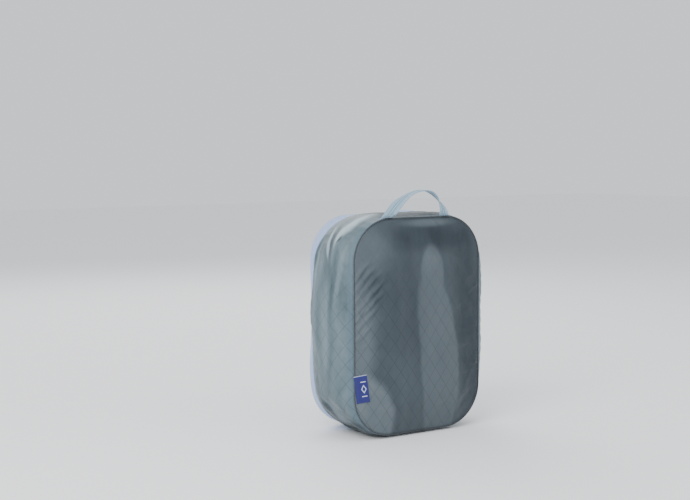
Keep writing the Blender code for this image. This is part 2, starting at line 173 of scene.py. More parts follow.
# The gusset is fuller beside the front seam on the right, and drawn in at its top left corner
RIGHT_FULLNESS = 0.0054
CORNER_PINCH = 0.0026
TOP_LIFT = 0.0045
TOP_LIFT_X = 0.040
TOP_LIFT_SPREAD = 0.017
TOP_ACROSS = ((0.012, 0.026, 0.038, REAR_SEAM_Y, BACK_Y), (0.0, 0.9, 1.0, 0.6, 0.0))
# The gusset's inset from the outline at depths from the front seam to its rear hem
GUSSET_INSETS = (
    (
        -0.045, GUSSET_FRONT_Y, GUSSET_FRONT_Y + 0.0085, GUSSET_FRONT_Y + 0.0185,
        0.0, 0.007, 0.015, GUSSET_REAR_Y, 0.024,
    ),
    (SEAM_INSET, SEAM_INSET, 0.0014, 0.0001, 0.0, 0.0, 0.0012, SEAM_INSET - 0.0004, SEAM_INSET - 0.0004),
)


def linear(red, green, blue):
    """Linear colour from sRGB values of 0 to 255."""
    return tuple(
        c / 255 / 12.92 if c <= 10 else ((c / 255 + 0.055) / 1.055) ** 2.4 for c in (red, green, blue)
    )


def direction(degrees):
    """Cosine and sine of an angle in degrees."""
    return math.cos(math.radians(degrees)), math.sin(math.radians(degrees))


# Materials

class Value:
    """A number that varies over a surface; arithmetic on it adds Math nodes."""

    def __init__(self, finish, socket):
        self.finish, self.socket = finish, socket

    def __add__(self, other):
        return self.finish.math("ADD", self, other)

    def __sub__(self, other):
        return self.finish.math("SUBTRACT", self, other)

    def __rsub__(self, other):
        return self.finish.math("SUBTRACT", other, self)

    def __mul__(self, other):
        return self.finish.math("MULTIPLY", self, other)

    def __truediv__(self, other):
        return self.finish.math("DIVIDE", self, other)

    def __abs__(self):
        return self.finish.math("ABSOLUTE", self)

    def centred(self, amount):
        """A noise of 0 to 1 moved to lie evenly about 0, amount wide."""
        return (self - 0.5) * amount

    def clamped(self):
        return self.finish.math("ADD", self, 0.0, clamp=True)


class Finish:
    """A node material under construction, with the shader's own sockets set by name."""

    def __init__(self, name, **settings):
        self.material = bpy.data.materials.new(name)
        self.material.use_nodes = True
        self.tree = self.material.node_tree
        self.shader = self.tree.nodes["Principled BSDF"]
        for key, value in settings.items():
            self.shader.inputs[key.replace("_", " ")].default_value = value

    def node(self, kind, feeds=(), **properties):
        """A new node; feeds are the values of its first inputs."""
        made = self.tree.nodes.new(kind)
        for key, value in properties.items():
            setattr(made, key, value)
        for socket, value in zip(made.inputs, feeds):
            self.feed(socket, value)
        return made

    def feed(self, socket, value):
        """Link a socket to another, or set its plain value."""
        value = value.socket if isinstance(value, Value) else value
        if hasattr(value, "is_output"):
            self.tree.links.new(value, socket)
        elif hasattr(value, "__len__") and socket.type == "RGBA":
            socket.default_value = (*value, 1.0)
        else:
            socket.default_value = value

    def math(self, operation, *terms, clamp=False):
        made = self.node("ShaderNodeMath", terms, operation=operation, use_clamp=clamp)
        return Value(self, made.outputs[0])

    def span(self, value, low, high, start=0.0, end=1.0):
        """Smooth change from start to end while value goes from low to high."""
        terms = (value, low, high, start, end)
        made = self.node("ShaderNodeMapRange", terms, interpolation_type="SMOOTHSTEP")
        return Value(self, made.outputs[0])

    def blend(self, factor, first, second):
        made = self.node("ShaderNodeMix", data_type="RGBA")
        self.feed(made.inputs["Factor"], factor)
        self.feed(made.inputs[6], first)
        self.feed(made.inputs[7], second)
        return made.outputs[2]

    def place(self):
        return self.node("ShaderNodeTexCoord").outputs["Object"]

    def cloth_place(self):
        return self.node("ShaderNodeUVMap", uv_map="Cloth").outputs[0]

    def split(self, vector):
        made = self.node("ShaderNodeSeparateXYZ", (vector,))
        return [Value(self, socket) for socket in made.outputs]

    def scaled(self, vector, scale):
        return self.node("ShaderNodeVectorMath", (vector, scale), operation="MULTIPLY").outputs[0]

    def cloud(self, vector, scale, detail=2.0, roughness=0.5, distortion=0.0):
        made = self.node("ShaderNodeTexNoise", (vector,))
        made.inputs["Scale"].default_value = scale
        made.inputs["Detail"].default_value = detail
        made.inputs["Roughness"].default_value = roughness
        made.inputs["Distortion"].default_value = distortion
        return Value(self, made.outputs["Fac"])

    def bump(self, height, distance, strength=1.0):
        made = self.node("ShaderNodeBump")
        made.inputs["Strength"].default_value = strength
        made.inputs["Distance"].default_value = distance
        self.feed(made.inputs["Height"], height)
        self.tree.links.new(made.outputs[0], self.shader.inputs["Normal"])

    def colour(self, value):
        self.feed(self.shader.inputs["Base Color"], value)


def darker(colour, share):
    return tuple(c * share for c in colour)


def waves(finish, value, pitch):
    """A sine of -1 to 1 that repeats with the pitch."""
    return finish.math("SINE", value * (2 * math.pi / pitch))


def weave(finish, vector, pitch):
    """Height of a plain weave, from 0 to 1, over a cloth's own (u, v)."""
    u, v = finish.split(vector)[:2]
    return waves(finish, u, pitch) * waves(finish, v, pitch) * 0.5 + 0.5


def diamond_lines(finish, u, v):
    """1 on the crossing ripstop threads and 0 between them."""
    across, along = u / DIAMOND[0], v / DIAMOND[1]
    lines = []
    for slanted in (across + along, across - along):
        off = abs(finish.math("FRACT", slanted) - 0.5)
        lines.append(finish.span(off, 0.0, THREAD_SHARE, 1.0, 0.0))
    return finish.math("MAXIMUM", *lines)


def patch(finish, x, z, centre, radii, lean, amount, softness):
    """A soft-edged oval of lighter or darker cloth, in millimetres; lean is in degrees."""
    dx, dz = x - centre[0] / 1000, z - centre[1] / 1000
    cos, sin = direction(lean)
    across = (dx * cos + dz * sin) / (radii[0] / 1000)
    along = (dz * cos - dx * sin) / (radii[1] / 1000)
    away = finish.math("SQRT", across * across + along * along)
    return finish.span(away, 1 - softness, 1 + softness, amount, 0.0)


def ripstop(name, dark, light, shade, grid_turned=False, lines=0.44, strip=None):
    """Thin coated ripstop; shade makes the socket that mixes dark and light."""
    finish = Finish(name, Roughness=0.46, Sheen_Weight=0.10, Sheen_Roughness=0.4, Specular_IOR_Level=0.28)
    cloth = finish.cloth_place()
    u, v = finish.split(cloth)[:2]
    threads = diamond_lines(finish, v, u) if grid_turned else diamond_lines(finish, u, v)
    height = finish.split(finish.place())[2]
    threads = threads * finish.span(height, *GRID_FADE, 1.0, 0.30)
    body = finish.blend(shade(finish), dark, light)
    if strip:
        body = strip(finish, cloth, body)
    fine = finish.cloud(cloth, 900.0, 1.0)
    body = finish.blend(fine.centred(0.22), body, (0.0, 0.0, 0.0))
    finish.colour(finish.blend(threads * lines, body, darker(dark, 0.35)))
    finish.bump(threads * 0.6 + weave(finish, cloth, 0.0008) * 0.5, 0.00014, 0.7)
    return finish.material


# Where the contents show through the front, together with painted highlights and painted shade, in
# millimetres:
# centre, radii, lean in degrees, amount of light, softness of the edge
ARCH_CONTENT_AND_HIGHLIGHT = (
    ((22, 84), (28, 114), 7, 0.27, 0.10),
    ((13, 188), (17, 31), 4, 0.27, 0.14),
)
FRONT_CONTENT_AND_PAINTED_LIGHT = (
    ((11, 206), (12, 16), 8, 0.08, 0.60),
    ((74, 120), (24, 125), 5, -0.24, 0.50),
    ((-24, 150), (20, 84), 10, -0.07, 0.70),
    ((2, 228), (44, 15), -3, -0.19, 0.60),
    ((-90, 118), (26, 84), 0, 0.44, 0.40),
    ((-64, 28), (24, 46), 13, 0.57, 0.20),
    ((-66, 216), (26, 24), 30, 0.26, 0.55),
    ((12, 244), (28, 4), 0, 0.40, 0.60),
    ((-20, 36), (18, 60), 6, 0.10, 0.60),
    ((40, 226), (30, 18), 0, -0.10, 0.60),
)
# A fan of creases from the left seam, each painted as a highlight with a shadow beside it: height, direction
# in degrees, half length
FAN_X = -87
FAN_STARTS = (
    (181, 52, 13), (170, 50, 17), (158, 49, 21), (147, 46, 24), (137, 45, 22), (126, 46, 17), (114, 46, 13),
)
# The painted shadow of each crease lies this far beside its painted highlight
FAN_SHADOW = 3.6


def front_shade(finish):
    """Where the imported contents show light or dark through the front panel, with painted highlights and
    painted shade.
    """
    place = finish.place()
    x, _, z = finish.split(place)
    drift = finish.cloud(finish.scaled(place, (1.0, 0.3, 0.5)), 26.0, 3.0, 0.55)
    x = x + drift.centred(0.016)
    # The arch of light is the contents showing through, with a painted highlight
    total = finish.math("MAXIMUM", *[patch(finish, x, z, *spec) for spec in ARCH_CONTENT_AND_HIGHLIGHT]) + 0.30
    ovals = list(FRONT_CONTENT_AND_PAINTED_LIGHT)
    # A painted highlight and a painted shadow along each crease of the fan
    for start, way, reach in FAN_STARTS:
        cos, sin = direction(way)
        lit = (FAN_X + cos * reach, start + sin * reach)
        dim = (lit[0] + FAN_SHADOW * sin, lit[1] - FAN_SHADOW * cos)
        ovals.append((lit, (2.4, reach), way - 90, 0.16, 0.55))
        ovals.append((dim, (1.7, reach * 0.9), way - 90, -0.16, 0.55))
    for spec in ovals:
        total = total + patch(finish, x, z, *spec)
    mottle = finish.cloud(finish.scaled(place, (1.0, 1.0, 0.35)), 42.0, 4.0, 0.6)
    return (total + mottle.centred(0.30)).clamped()


# Painted highlights and shadows of the creases on the left wall, listed as for the front but in (y, z); the
# streak, the star-shaped crease and the shadow near the top were placed from points measured in the photo
GUSSET_HIGHLIGHT_AND_SHADOW_PATCHES = (
    ((-2, 224), (2.6, 18), -26, 0.66, 0.5),
    ((-20, 241), (7, 13), 26, 0.84, 0.6),
    ((-14, 230), (2.5, 10), -20, 0.42, 0.6),
    ((-20, 228), (1.8, 4), 30, -0.42, 0.5),
    ((-9, 224), (3, 15), -20, -0.25, 0.6),
    ((12, 200), (2.5, 26), -8, 0.25, 0.6),
    ((-30, 190), (3, 30), 8, 0.15, 0.6),
    ((-22, 172), (3, 40), 4, -0.10, 0.6),
    ((-12, 135), (6, 50), 2, 0.14, 0.6),
    ((8, 26), (9, 12), 20, -0.42, 0.6),
)


def gusset_shade(finish):
    """Soft light and dark streaks along the gusset, painted highlights and shadows of its creases, and
    painted shade at the bottom and along most of the top.
    """
    place = finish.place()
    streak = finish.cloud(finish.scaled(place, (1.0, 1.0, 0.22)), 34.0, 4.0, 0.6, 0.6)
    broad = finish.cloud(place, 9.0, 2.0)
    shade = finish.span(streak * 1.3 + broad * 0.5, 0.50, 1.26, 0.10, 0.44)
    x, y, z = finish.split(place)
    left = finish.span(x, -0.05, -0.03, 1.0, 0.0)
    # Painted highlights and shadows of the creases on the left wall
    for spec in GUSSET_HIGHLIGHT_AND_SHADOW_PATCHES:
        shade = shade + patch(finish, y, z, *spec) * left
    # Painted shade along most of the top and at the bottom, near the floor
    above = finish.span(z, HEIGHT - 0.014, HEIGHT - 0.002) * finish.span(x, -0.055, -0.030)
    below = finish.span(z, 0.004, 0.024, 0.55, 0.0)
    return (shade - above * 0.43 - below).clamped()


def back_shade(finish):
    place = finish.scaled(finish.place(), (1.0, 1.0, 0.5))
    return finish.span(finish.cloud(place, 18.0, 4.0, 0.6), 0.32, 0.72)


def seam_strip(finish, cloth, body):
    """The folded allowance that shows bluish through the gusset beside the front seam, with a painted
    highlight along the seam's edge.
    """
    across = finish.split(cloth)[1]
    inside = finish.span(across, 0.0056, 0.0063, 1.0, 0.0)
    # A painted highlight along the gusset's edge at the front seam
    edge = finish.span(across, 0.0, 0.0006, 1.0, 0.0)
    body = finish.blend(inside * 0.55, body, linear(84, 106, 120))
    return finish.blend(edge * 0.7, body, linear(150, 172, 184))


def woven(name, colour, pitch=0.0007, contrast=0.16, roughness=0.8, ribs=None):
    """Woven tape or binding: a fine weave, and ribs of the given pitch along it if wanted, with painted
    shade in their hollows.
    """
    finish = Finish(name, Roughness=roughness, Sheen_Weight=0.35, Sheen_Roughness=0.5)
    cloth = finish.cloth_place()
    height = weave(finish, cloth, pitch)
    if ribs:
        rib = waves(finish, finish.split(cloth)[1], ribs)
        height = height * 0.4 + (rib * 0.5 + 0.5)
    mottle = finish.cloud(cloth, 220.0, 3.0)
    # Painted shade in the hollows of the weave and ribs, with a random mottle
    shade = ((1.0 - height) * contrast + mottle.centred(0.18)).clamped()
    finish.colour(finish.blend(shade, colour, darker(colour, 0.3)))
    finish.bump(height, 0.0002, 0.7)
    return finish.material


def webbing_finish():
    """Ribbed grosgrain with two darker lines along its middle: painted shade in its two grooves and in the
    valleys of its ribs.
    """
    finish = Finish("webbing", Roughness=0.75, Sheen_Weight=0.2, Sheen_Roughness=0.5)
    cloth = finish.cloth_place()
    across = finish.split(cloth)[1]
    ribs = waves(finish, across, 0.0021) * 0.5 + 0.5
    from_line = abs(abs(across - HANDLE_WEBBING / 2) - 0.0014)
    line = finish.span(from_line, 0.0003, 0.0007, 1.0, 0.0)
    mottle = finish.cloud(cloth, 260.0, 3.0)
    # Painted shade in the rib valleys and in the two grooves, with a random mottle
    shade = ((ribs * 0.30 + line * 0.45).clamped() + mottle.centred(0.25)).clamped()
    finish.colour(finish.blend(shade, linear(146, 174, 194), linear(74, 98, 114)))
    finish.bump(weave(finish, cloth, 0.0009) * 0.4 - shade, 0.0002, 0.7)
    return finish.material


def moulded(name, colour, roughness, metallic=0.0, grain=0.12, coat=0.0):
    """Plastic, rubber or lacquered metal, with a fine grain and slight handling marks."""
    finish = Finish(name, Roughness=roughness, Metallic=metallic, Coat_Weight=coat)
    place = finish.place()
    marks = finish.cloud(place, 260.0, 4.0, 0.65)
    finish.colour(finish.blend(marks * grain, colour, darker(colour, 0.45)))
    finish.feed(finish.shader.inputs["Roughness"], marks * 0.18 + (roughness - 0.08))
    finish.bump(finish.cloud(place, 1800.0, 2.0), 0.00005, 0.5)
    return finish.material


def label_finish():
    """Royal blue damask with a pale generic mark: a rhombus between two bars."""
    finish = Finish("label_damask", Roughness=0.6, Sheen_Weight=0.2)
    cloth = finish.cloth_place()
    u, v = finish.split(cloth)[:2]
    from_middle = abs(u - (LABEL_WIDTH * 0.52 + LABEL_ROOT))
    up = abs(v - LABEL_HEIGHT * 0.5)
    spread = from_middle / 0.0032 + up / 0.0050
    rhombus = finish.span(spread, 0.96, 1.04, 1.0, 0.0) * finish.span(spread, 0.60, 0.68, 0.0, 1.0)
    bar_height = finish.span(abs(up - 0.0082), 0.0004, 0.0006, 1.0, 0.0)
    bar = bar_height * finish.span(from_middle, 0.0030, 0.0033, 1.0, 0.0)
    mark = finish.math("MAXIMUM", rhombus, bar)
    edge = finish.span(LABEL_HEIGHT - v, 0.0003, 0.0007, 1.0, 0.0)
    height = weave(finish, cloth, 0.0005)
    base = finish.blend(height * 0.25, linear(10, 17, 104), linear(6, 10, 74))
    base = finish.blend(mark * 0.85, base, linear(196, 204, 226))
    finish.colour(finish.blend(edge * 0.8, base, linear(190, 200, 225)))
    finish.bump(height + mark, 0.00012, 0.5)
    return finish.material


# Dark and light ends of the front's painted light and shade, with the contents showing through
DARK_PANEL = linear(24, 37, 46)
LIGHT_PANEL = linear(94, 104, 110)
RIPSTOP = ripstop("ripstop_front", DARK_PANEL, LIGHT_PANEL, front_shade)
# The gusset's light colour is bright enough for its painted highlights
GUSSET = ripstop(
    "ripstop_gusset", linear(44, 60, 67), linear(150, 171, 179), gusset_shade, True, 0.42, seam_strip
)
BACK_RIPSTOP = ripstop("ripstop_back", linear(54, 70, 79), linear(92, 106, 113), back_shade)
PLEAT_RIPSTOP = ripstop("ripstop_pleat", linear(54, 70, 79), linear(84, 98, 106), back_shade, True)
# Dark cloth for the front seam's ridge, partly painted shade of the seam's valley
DARK_SEAM_AND_SHADE_CLOTH = woven("seam_cloth", linear(30, 42, 50), 0.0009, 0.3, 0.6)
BACK_SEAM = woven("back_seam_cloth", linear(70, 88, 98), 0.0009, 0.3, 0.6)
TAPE = woven("zipper_tape", linear(150, 178, 224), 0.0008, 0.14)
BINDING = woven("binding", linear(134, 148, 160), 0.0006, 0.28, ribs=0.0012)
WEBBING = webbing_finish()
COIL = moulded("coil", linear(186, 200, 222), 0.40)
THREAD = moulded("thread", linear(26, 36, 44), 0.70, grain=0.4)
PALE_THREAD = moulded("pale_thread", linear(170, 184, 204), 0.70, grain=0.3)
ZINC = moulded("lacquered_zinc", linear(150, 158, 166), 0.34, 0.85, 0.25, 0.2)
RUBBER = moulded("moulded_rubber", linear(128, 144, 158), 0.58)
LABEL = label_finish()


# Arrays

def repeated(vector, count):
    """One vector as a row for each of count points."""
    return np.tile(vector, (count, 1))


def unit(vectors):
    """Each row scaled to a length of 1."""
    return vectors / np.linalg.norm(vectors, axis=1)[:, None]


def heading(points):
    """Direction of a line at each of its points."""
    return unit(np.gradient(points, axis=0))


def running(points):
    """Length along a line of points, from 0."""
    return np.concatenate([[0.0], np.cumsum(np.linalg.norm(np.diff(points, axis=0), axis=1))])


def closed_up(points):
    """The points with the first one again at the end."""
    return np.vstack([points, points[:1]])


def bell(value, centre, spread, power=2):
    """1 at the centre, falling smoothly to 0 on both sides."""
    return np.exp(-(((value - centre) / spread) ** power))


def ease(value):
    """A smooth step from 0 to 1."""
    value = np.clip(value, 0, 1)
    return value * value * (3 - 2 * value)


def squared(turn, power):
    """Cosine and sine of an angle raised to a power with their signs kept, for a squarer ring."""
    return [np.sign(part) * np.abs(part) ** power for part in (np.cos(turn), np.sin(turn))]


def crumple(x, y, z, scale):
    """Smooth three-dimensional noise at each point, about -1 to 1."""
    points = np.stack([x, y, z], axis=1) * scale
    return np.array([noise.noise(Vector(point)) for point in points])


# Meshes

def placed(name, data):
    """A new object in the scene."""
    obj = bpy.data.objects.new(name, data)
    bpy.context.scene.collection.objects.link(obj)
    return obj


def finished(name, mesh, material, body, nodes=()):
    """Link a mesh as a piece that rides on a body, and hide the CAD nodes it stands for."""
    obj = placed(name, mesh)
    mesh.materials.clear()
    mesh.materials.append(material)
    mesh.shade_smooth()
    if body:
        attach(obj, body)
    if nodes:
        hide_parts(*nodes)
    return obj


@contextmanager
def edited(mesh):
    """A mesh opened for editing and written back afterwards."""
    shape = bmesh.new()
    shape.from_mesh(mesh)
    yield shape
    shape.to_mesh(mesh)
    shape.free()


def coordinates(mesh):
    return np.array([vertex.co for vertex in mesh.vertices])


def move_to(mesh, points):
    mesh.vertices.foreach_set("co", points.ravel())
    mesh.update()


def grid_mesh(name, points, closed_u=False, closed_v=False, u=None, v=None, caps=False):
    """Quads over a grid of points, with the cloth's own coordinates as a UV map."""
    nu, nv = points.shape[:2]
    count_u, count_v = (nu if closed_u else nu - 1), (nv if closed_v else nv - 1)
    i, j = np.meshgrid(np.arange(count_u), np.arange(count_v), indexing="ij")
    i, j = i.ravel(), j.ravel()
    ni, nj = (i + 1) % nu, (j + 1) % nv
    faces = np.stack([i * nv + j, ni * nv + j, ni * nv + nj, i * nv + nj], axis=1).tolist()
    if caps:
        faces.append(list(range(nv))[::-1])
        faces.append([(nu - 1) * nv + k for k in range(nv)])
    mesh = bpy.data.meshes.new(name)
    mesh.from_pydata(points.reshape(-1, 3).tolist(), [], faces)
    corner_u = np.stack([u[i], u[i + 1], u[i + 1], u[i]], axis=1)
    corner_v = np.stack([v[j], v[j], v[j + 1], v[j + 1]], axis=1)
    flat = np.concatenate([np.stack([corner_u, corner_v], axis=2).ravel(), np.zeros(4 * nv * caps)])
    mesh.uv_layers.new(name="Cloth").data.foreach_set("uv", flat)
    return mesh


def outwards(mesh, towards=None):
    """Face a closed mesh outwards, or an open one the way that towards says."""
    with edited(mesh) as shape:
        faces = shape.faces
        bmesh.ops.recalc_face_normals(shape, faces=faces)
        if towards is not None:
            total = sum(f.normal.dot(towards(f.calc_center_median())) * f.calc_area() for f in faces)
            if total < 0:
                bmesh.ops.reverse_faces(shape, faces=faces)
    return mesh


def from_axis(centre):
    """Outward direction, across the case, from the axis through its middle."""
    return Vector((centre.x, 0, centre.z - HEIGHT / 2))


class Outline:
    """The case's rounded outline in (x, z), anticlockwise, with outward normals; open, it starts and
    ends at the hinge."""

    def __init__(self, step, closed=True):
        self.points, self.normals = [], []
        flat_x, flat_z, radius = WIDTH / 2 - CORNER_RADIUS, HEIGHT / 2 - CORNER_RADIUS, CORNER_RADIUS
        count = math.ceil(radius * math.pi / 2 / step)
        if not closed:
            self.straight((WIDTH / 2, HINGE_Z[1] + GAP), (WIDTH / 2, HEIGHT - radius), (1, 0), step)
        for corner in (0, 1, 2, 3) if closed else (1, 2, 3, 0):
            middle = math.radians(90 * corner - 45)
            centre_x = math.copysign(flat_x, math.cos(middle))
            centre_z = HEIGHT / 2 + math.copysign(flat_z, math.sin(middle))
            start = math.radians(90 * (corner - 1))
            for k in range(count):
                angle = start + math.pi / 2 * k / count
                normal = (math.cos(angle), math.sin(angle))
                self.points.append((centre_x + radius * normal[0], centre_z + radius * normal[1]))
                self.normals.append(normal)
            angle = start + math.pi / 2
            normal = (round(math.cos(angle), 9), round(math.sin(angle), 9))
            here = (centre_x + radius * normal[0], centre_z + radius * normal[1])
            if corner == 0 and not closed:
                end = (WIDTH / 2, HINGE_Z[0] - GAP)
                self.straight(here, end, normal, step)
                self.points.append(end)
                self.normals.append(normal)
                continue
            run = 2 * (flat_z if corner in (0, 2) else flat_x)
            self.straight(here, (here[0] - normal[1] * run, here[1] + normal[0] * run), normal, step)
        self.points, self.normals = np.array(self.points), np.array(self.normals)
        self.length = running(closed_up(self.points) if closed else self.points)

    def straight(self, start, end, normal, step):
        count = max(1, math.ceil(math.dist(start, end) / step))
        for k in range(count):
            self.points.append([a + (b - a) * k / count for a, b in zip(start, end)])
            self.normals.append(normal)

    def at(self, inset, y):
        """Points of the outline moved inwards by inset, at depth y, with the sides' swelling."""
        moved = self.points - self.normals * inset
        return swollen(moved[:, 0], np.full(len(moved), y), moved[:, 1])

    def rings(self, profile):
        """A ring of points for each (inset, y) of a profile, as a grid along the outline."""
        return np.stack([self.at(inset, y) for inset, y in profile], axis=1)

    def outward(self):
        return np.insert(self.normals, 1, 0.0, axis=1)

    def frame(self, way):
        """Across and rise of a zipper at each point: 'depth' on the sides, 'level' on the back."""
        depth = repeated((0.0, 1.0, 0.0), len(self.points))
        return (depth, self.outward()) if way == "depth" else (self.outward(), depth)


def swollen(x, y, z):
    """Points with the swelling of the filled case's sides added."""
    share = np.clip((y - FRONT_SEAM_Y) / (REAR_SEAM_Y - FRONT_SEAM_Y), 0, 1)
    before = 1 - np.clip((FULLEST_SHARE - share) / FULLEST_SHARE, 0, 1) ** FRONT_SQUARENESS
    after = 1 - np.clip((share - FULLEST_SHARE) / (1 - FULLEST_SHARE), 0, 1) ** REAR_SQUARENESS
    upward = 1 - np.minimum(np.abs(2 * z / HEIGHT - 1), 1) ** UPRIGHT_SQUARENESS
    move = SIDE_SWELL * np.where(share < FULLEST_SHARE, before, after) * upward
    side = np.abs(x) > WIDTH / 2 - CORNER_RADIUS
    fuller = LEFT_FULLNESS * bell(z, LEFT_FULLEST_Z, LEFT_SPREAD) * np.interp(y, *LEFT_ACROSS)
    for place, spread, fullness in BAND_PLACES:
        fuller += fullness * bell(z, place, spread) * np.interp(y, *BAND_ACROSS) * upward
    lift = TOP_LIFT * bell(x, TOP_LIFT_X, TOP_LIFT_SPREAD) * np.interp(y, *TOP_ACROSS)
    upper = np.clip((z - HEIGHT + CORNER_RADIUS) / CORNER_RADIUS, 0, 1) ** 2
    sideways = np.where(side, np.sign(x) * move - np.where(x < 0, fuller, 0.0), 0.0)
    return np.stack([x + sideways, y, z + lift * upper], axis=1)


CLOSED_PATH = Outline(STEP)
OPEN_PATH = Outline(STEP, False)


def wall(inset, stations, thickness):
    """Closed profile of a strip that stands along the depth, its outer side at inset."""
    inner = [(inset + thickness, y) for y in stations[::-1]]
    return [(inset, y) for y in stations] + inner


def level(inset_low, inset_high, y_low, y_high, steps=5):
    """Closed profile of a flat strip in the back's plane, its edges slightly rounded."""
    soft = (y_high - y_low) * 0.3
    insets = np.linspace(inset_low, inset_high, steps)
    middle = insets[1:-1]
    top = [(inset_low, y_high - soft), *[(i, y_high) for i in middle], (inset_high, y_high - soft)]
    bottom = [(inset_high, y_low + soft), *[(i, y_low) for i in middle[::-1]], (inset_low, y_low + soft)]
    return top + bottom


def sweep(name, profile, material, body, nodes=(), closed=True):
    """A closed profile carried round the outline."""
    path = CLOSED_PATH if closed else OPEN_PATH
    v = running(np.array(profile + profile[:1]))
    mesh = grid_mesh(name, path.rings(profile), closed, True, path.length, v, caps=not closed)
    return finished(name, outwards(mesh), material, body, nodes)


def tube(name, points, sides, across, thick, count=10, square=2.0, closed=False):
    """A tube along points; sides is the direction of each ring's width."""
    points = np.asarray(points, float)
    sides = np.broadcast_to(np.asarray(sides, float), points.shape)
    ahead = unit(np.roll(points, -1, axis=0) - np.roll(points, 1, axis=0)) if closed else heading(points)
    up = unit(np.cross(ahead, sides))
    sides = np.cross(up, ahead)
    cos, sin = squared(np.linspace(0, 2 * math.pi, count, endpoint=False), 2 / square)
    across, thick = np.broadcast_to(across, len(points)), np.broadcast_to(thick, len(points))
    rings = (
        points[:, None]
        + sides[:, None] * (across[:, None] * cos)[..., None]
        + up[:, None] * (thick[:, None] * sin)[..., None]
    )
    length = running(closed_up(points) if closed else points)
    v = running(closed_up(rings[0]))
    return outwards(grid_mesh(name, rings, closed, True, length, v, caps=not closed))


def coil(name, inset, y, way, body, nodes, phase):
    """A nylon coil sewn along a tape edge, all the way round on the sides and open on the back."""
    closed = way == "depth"
    path = Outline(COIL_PITCH / COIL_STEPS, closed)
    centre = path.at(inset, y)
    across, rise = path.frame(way)
    count = len(centre)
    turn = 2 * math.pi * np.arange(count) / COIL_STEPS + phase
    if closed:
        turn = 2 * math.pi * round(count / COIL_STEPS) * np.arange(count) / count + phase
    spin = across * np.cos(turn)[:, None] * COIL_RADIUS
    spin += rise * np.sin(turn)[:, None] * COIL_RADIUS * COIL_FLATNESS
    mesh = tube(name, centre + spin, rise + 0.01 * across, COIL_WIRE, COIL_WIRE, 5, closed=closed)
    return finished(name, mesh, COIL, body, nodes)


def stitches(name, centres, ahead, outward, material, body, length=0.0022, gap=0.0032, radius=0.00022):
    """A row of separate stitches along a line, each dipping into the cloth at both ends."""
    run = running(centres)
    verts, faces = [], []
    ring, sides = 5, 6
    for start in np.arange(gap / 2, run[-1] - length, gap):
        k = min(int(np.searchsorted(run, start)), len(centres) - 1)
        t, o = ahead[k], outward[k]
        w = np.cross(t, o)
        base = len(verts)
        for step in range(ring):
            share = step / (ring - 1)
            hump = math.sin(math.pi * share)
            size = radius * (0.55 + 0.45 * hump)
            middle = centres[k] + t * (share - 0.5) * length + o * (radius * 1.1 * hump - radius * 0.6)
            for side in range(sides):
                angle = 2 * math.pi * side / sides
                verts.append(middle + (w * math.cos(angle) + o * math.sin(angle)) * size)
        for step in range(ring - 1):
            for side in range(sides):
                a, b = base + step * sides + side, base + step * sides + (side + 1) % sides
                faces.append((a, b, b + sides, a + sides))
        faces.append([base + s for s in range(sides)][::-1])
        faces.append([base + (ring - 1) * sides + s for s in range(sides)])
    mesh = bpy.data.meshes.new(name)
    mesh.from_pydata([tuple(p) for p in verts], [], faces)
    return finished(name, outwards(mesh), material, body)


def outline_stitches(name, inset, y, way, body):
    path = Outline(STITCH_STEP, way == "depth")
    centres = path.at(inset, y)
    return stitches(name, centres, heading(centres), path.frame(way)[1], PALE_THREAD, body)


# Cloth

def thick(obj, thickness=CLOTH):
    """Give an open sheet its thickness, on the inner side."""
    solid = obj.modifiers.new("thickness", "SOLIDIFY")
    solid.thickness = thickness
    solid.offset = -1.0


def inside_outline(inset, x, z):
    """Distance from points to the outline moved in by inset, positive inside."""
    radius = CORNER_RADIUS - inset
    qx = np.abs(x) - (WIDTH / 2 - CORNER_RADIUS)
    qz = np.abs(z - HEIGHT / 2) - (HEIGHT / 2 - CORNER_RADIUS)
    outside = np.hypot(np.maximum(qx, 0), np.maximum(qz, 0))
    return radius - (outside + np.minimum(np.maximum(qx, qz), 0))


def panel_points(inset):
    """Evenly spread points in the panel's outline, triangulated; the rim's points come first."""
    rim_path = Outline(PANEL_STEP)
    rim = rim_path.points - rim_path.normals * inset
    rows = []
    z, odd = 0.0, False
    while z < HEIGHT:
        x = np.arange(-WIDTH / 2 + (PANEL_STEP / 2 if odd else 0), WIDTH / 2, PANEL_STEP)
        rows.append(np.stack([x, np.full(len(x), z)], axis=1))
        z, odd = z + PANEL_STEP * 0.866, not odd
    field = np.vstack(rows)
    field = field[inside_outline(inset, field[:, 0], field[:, 1]) > PANEL_STEP * 0.6]
    points = np.vstack([rim, field])
    edges = [(k, (k + 1) % len(rim)) for k in range(len(rim))]
    found = geometry.delaunay_2d_cdt([Vector(p) for p in points], edges, [], 1, 1e-7)
    return np.array(found[0]), found[2], len(rim)


def membrane(count, faces, rim_count):
    """Height of a blown-up film over the panel, from 0 at the rim to 1 at the top."""
    triangles = np.array(faces)
    pairs = np.vstack([triangles[:, [0, 1]], triangles[:, [1, 2]], triangles[:, [2, 0]]])
    pairs = np.unique(np.sort(pairs, axis=1), axis=0)
    degree = np.bincount(pairs.ravel(), minlength=count).astype(float)
    free = np.arange(count) >= rim_count

    def stiffness(h):
        first, second = pairs.T
        pull = np.bincount(first, h[second], count) + np.bincount(second, h[first], count)
        return np.where(free, degree * h - pull, 0.0)

    height = np.zeros(count)
    rest = free.astype(float)
    way = rest.copy()
    size = rest @ rest
    for _ in range(400):
        turned = stiffness(way)
        share = size / (way @ turned)
        height += share * way
        rest -= share * turned
        new_size = rest @ rest
        if new_size < 1e-10:
            break
        way = rest + new_size / size * way
        size = new_size
    return height / height.max()


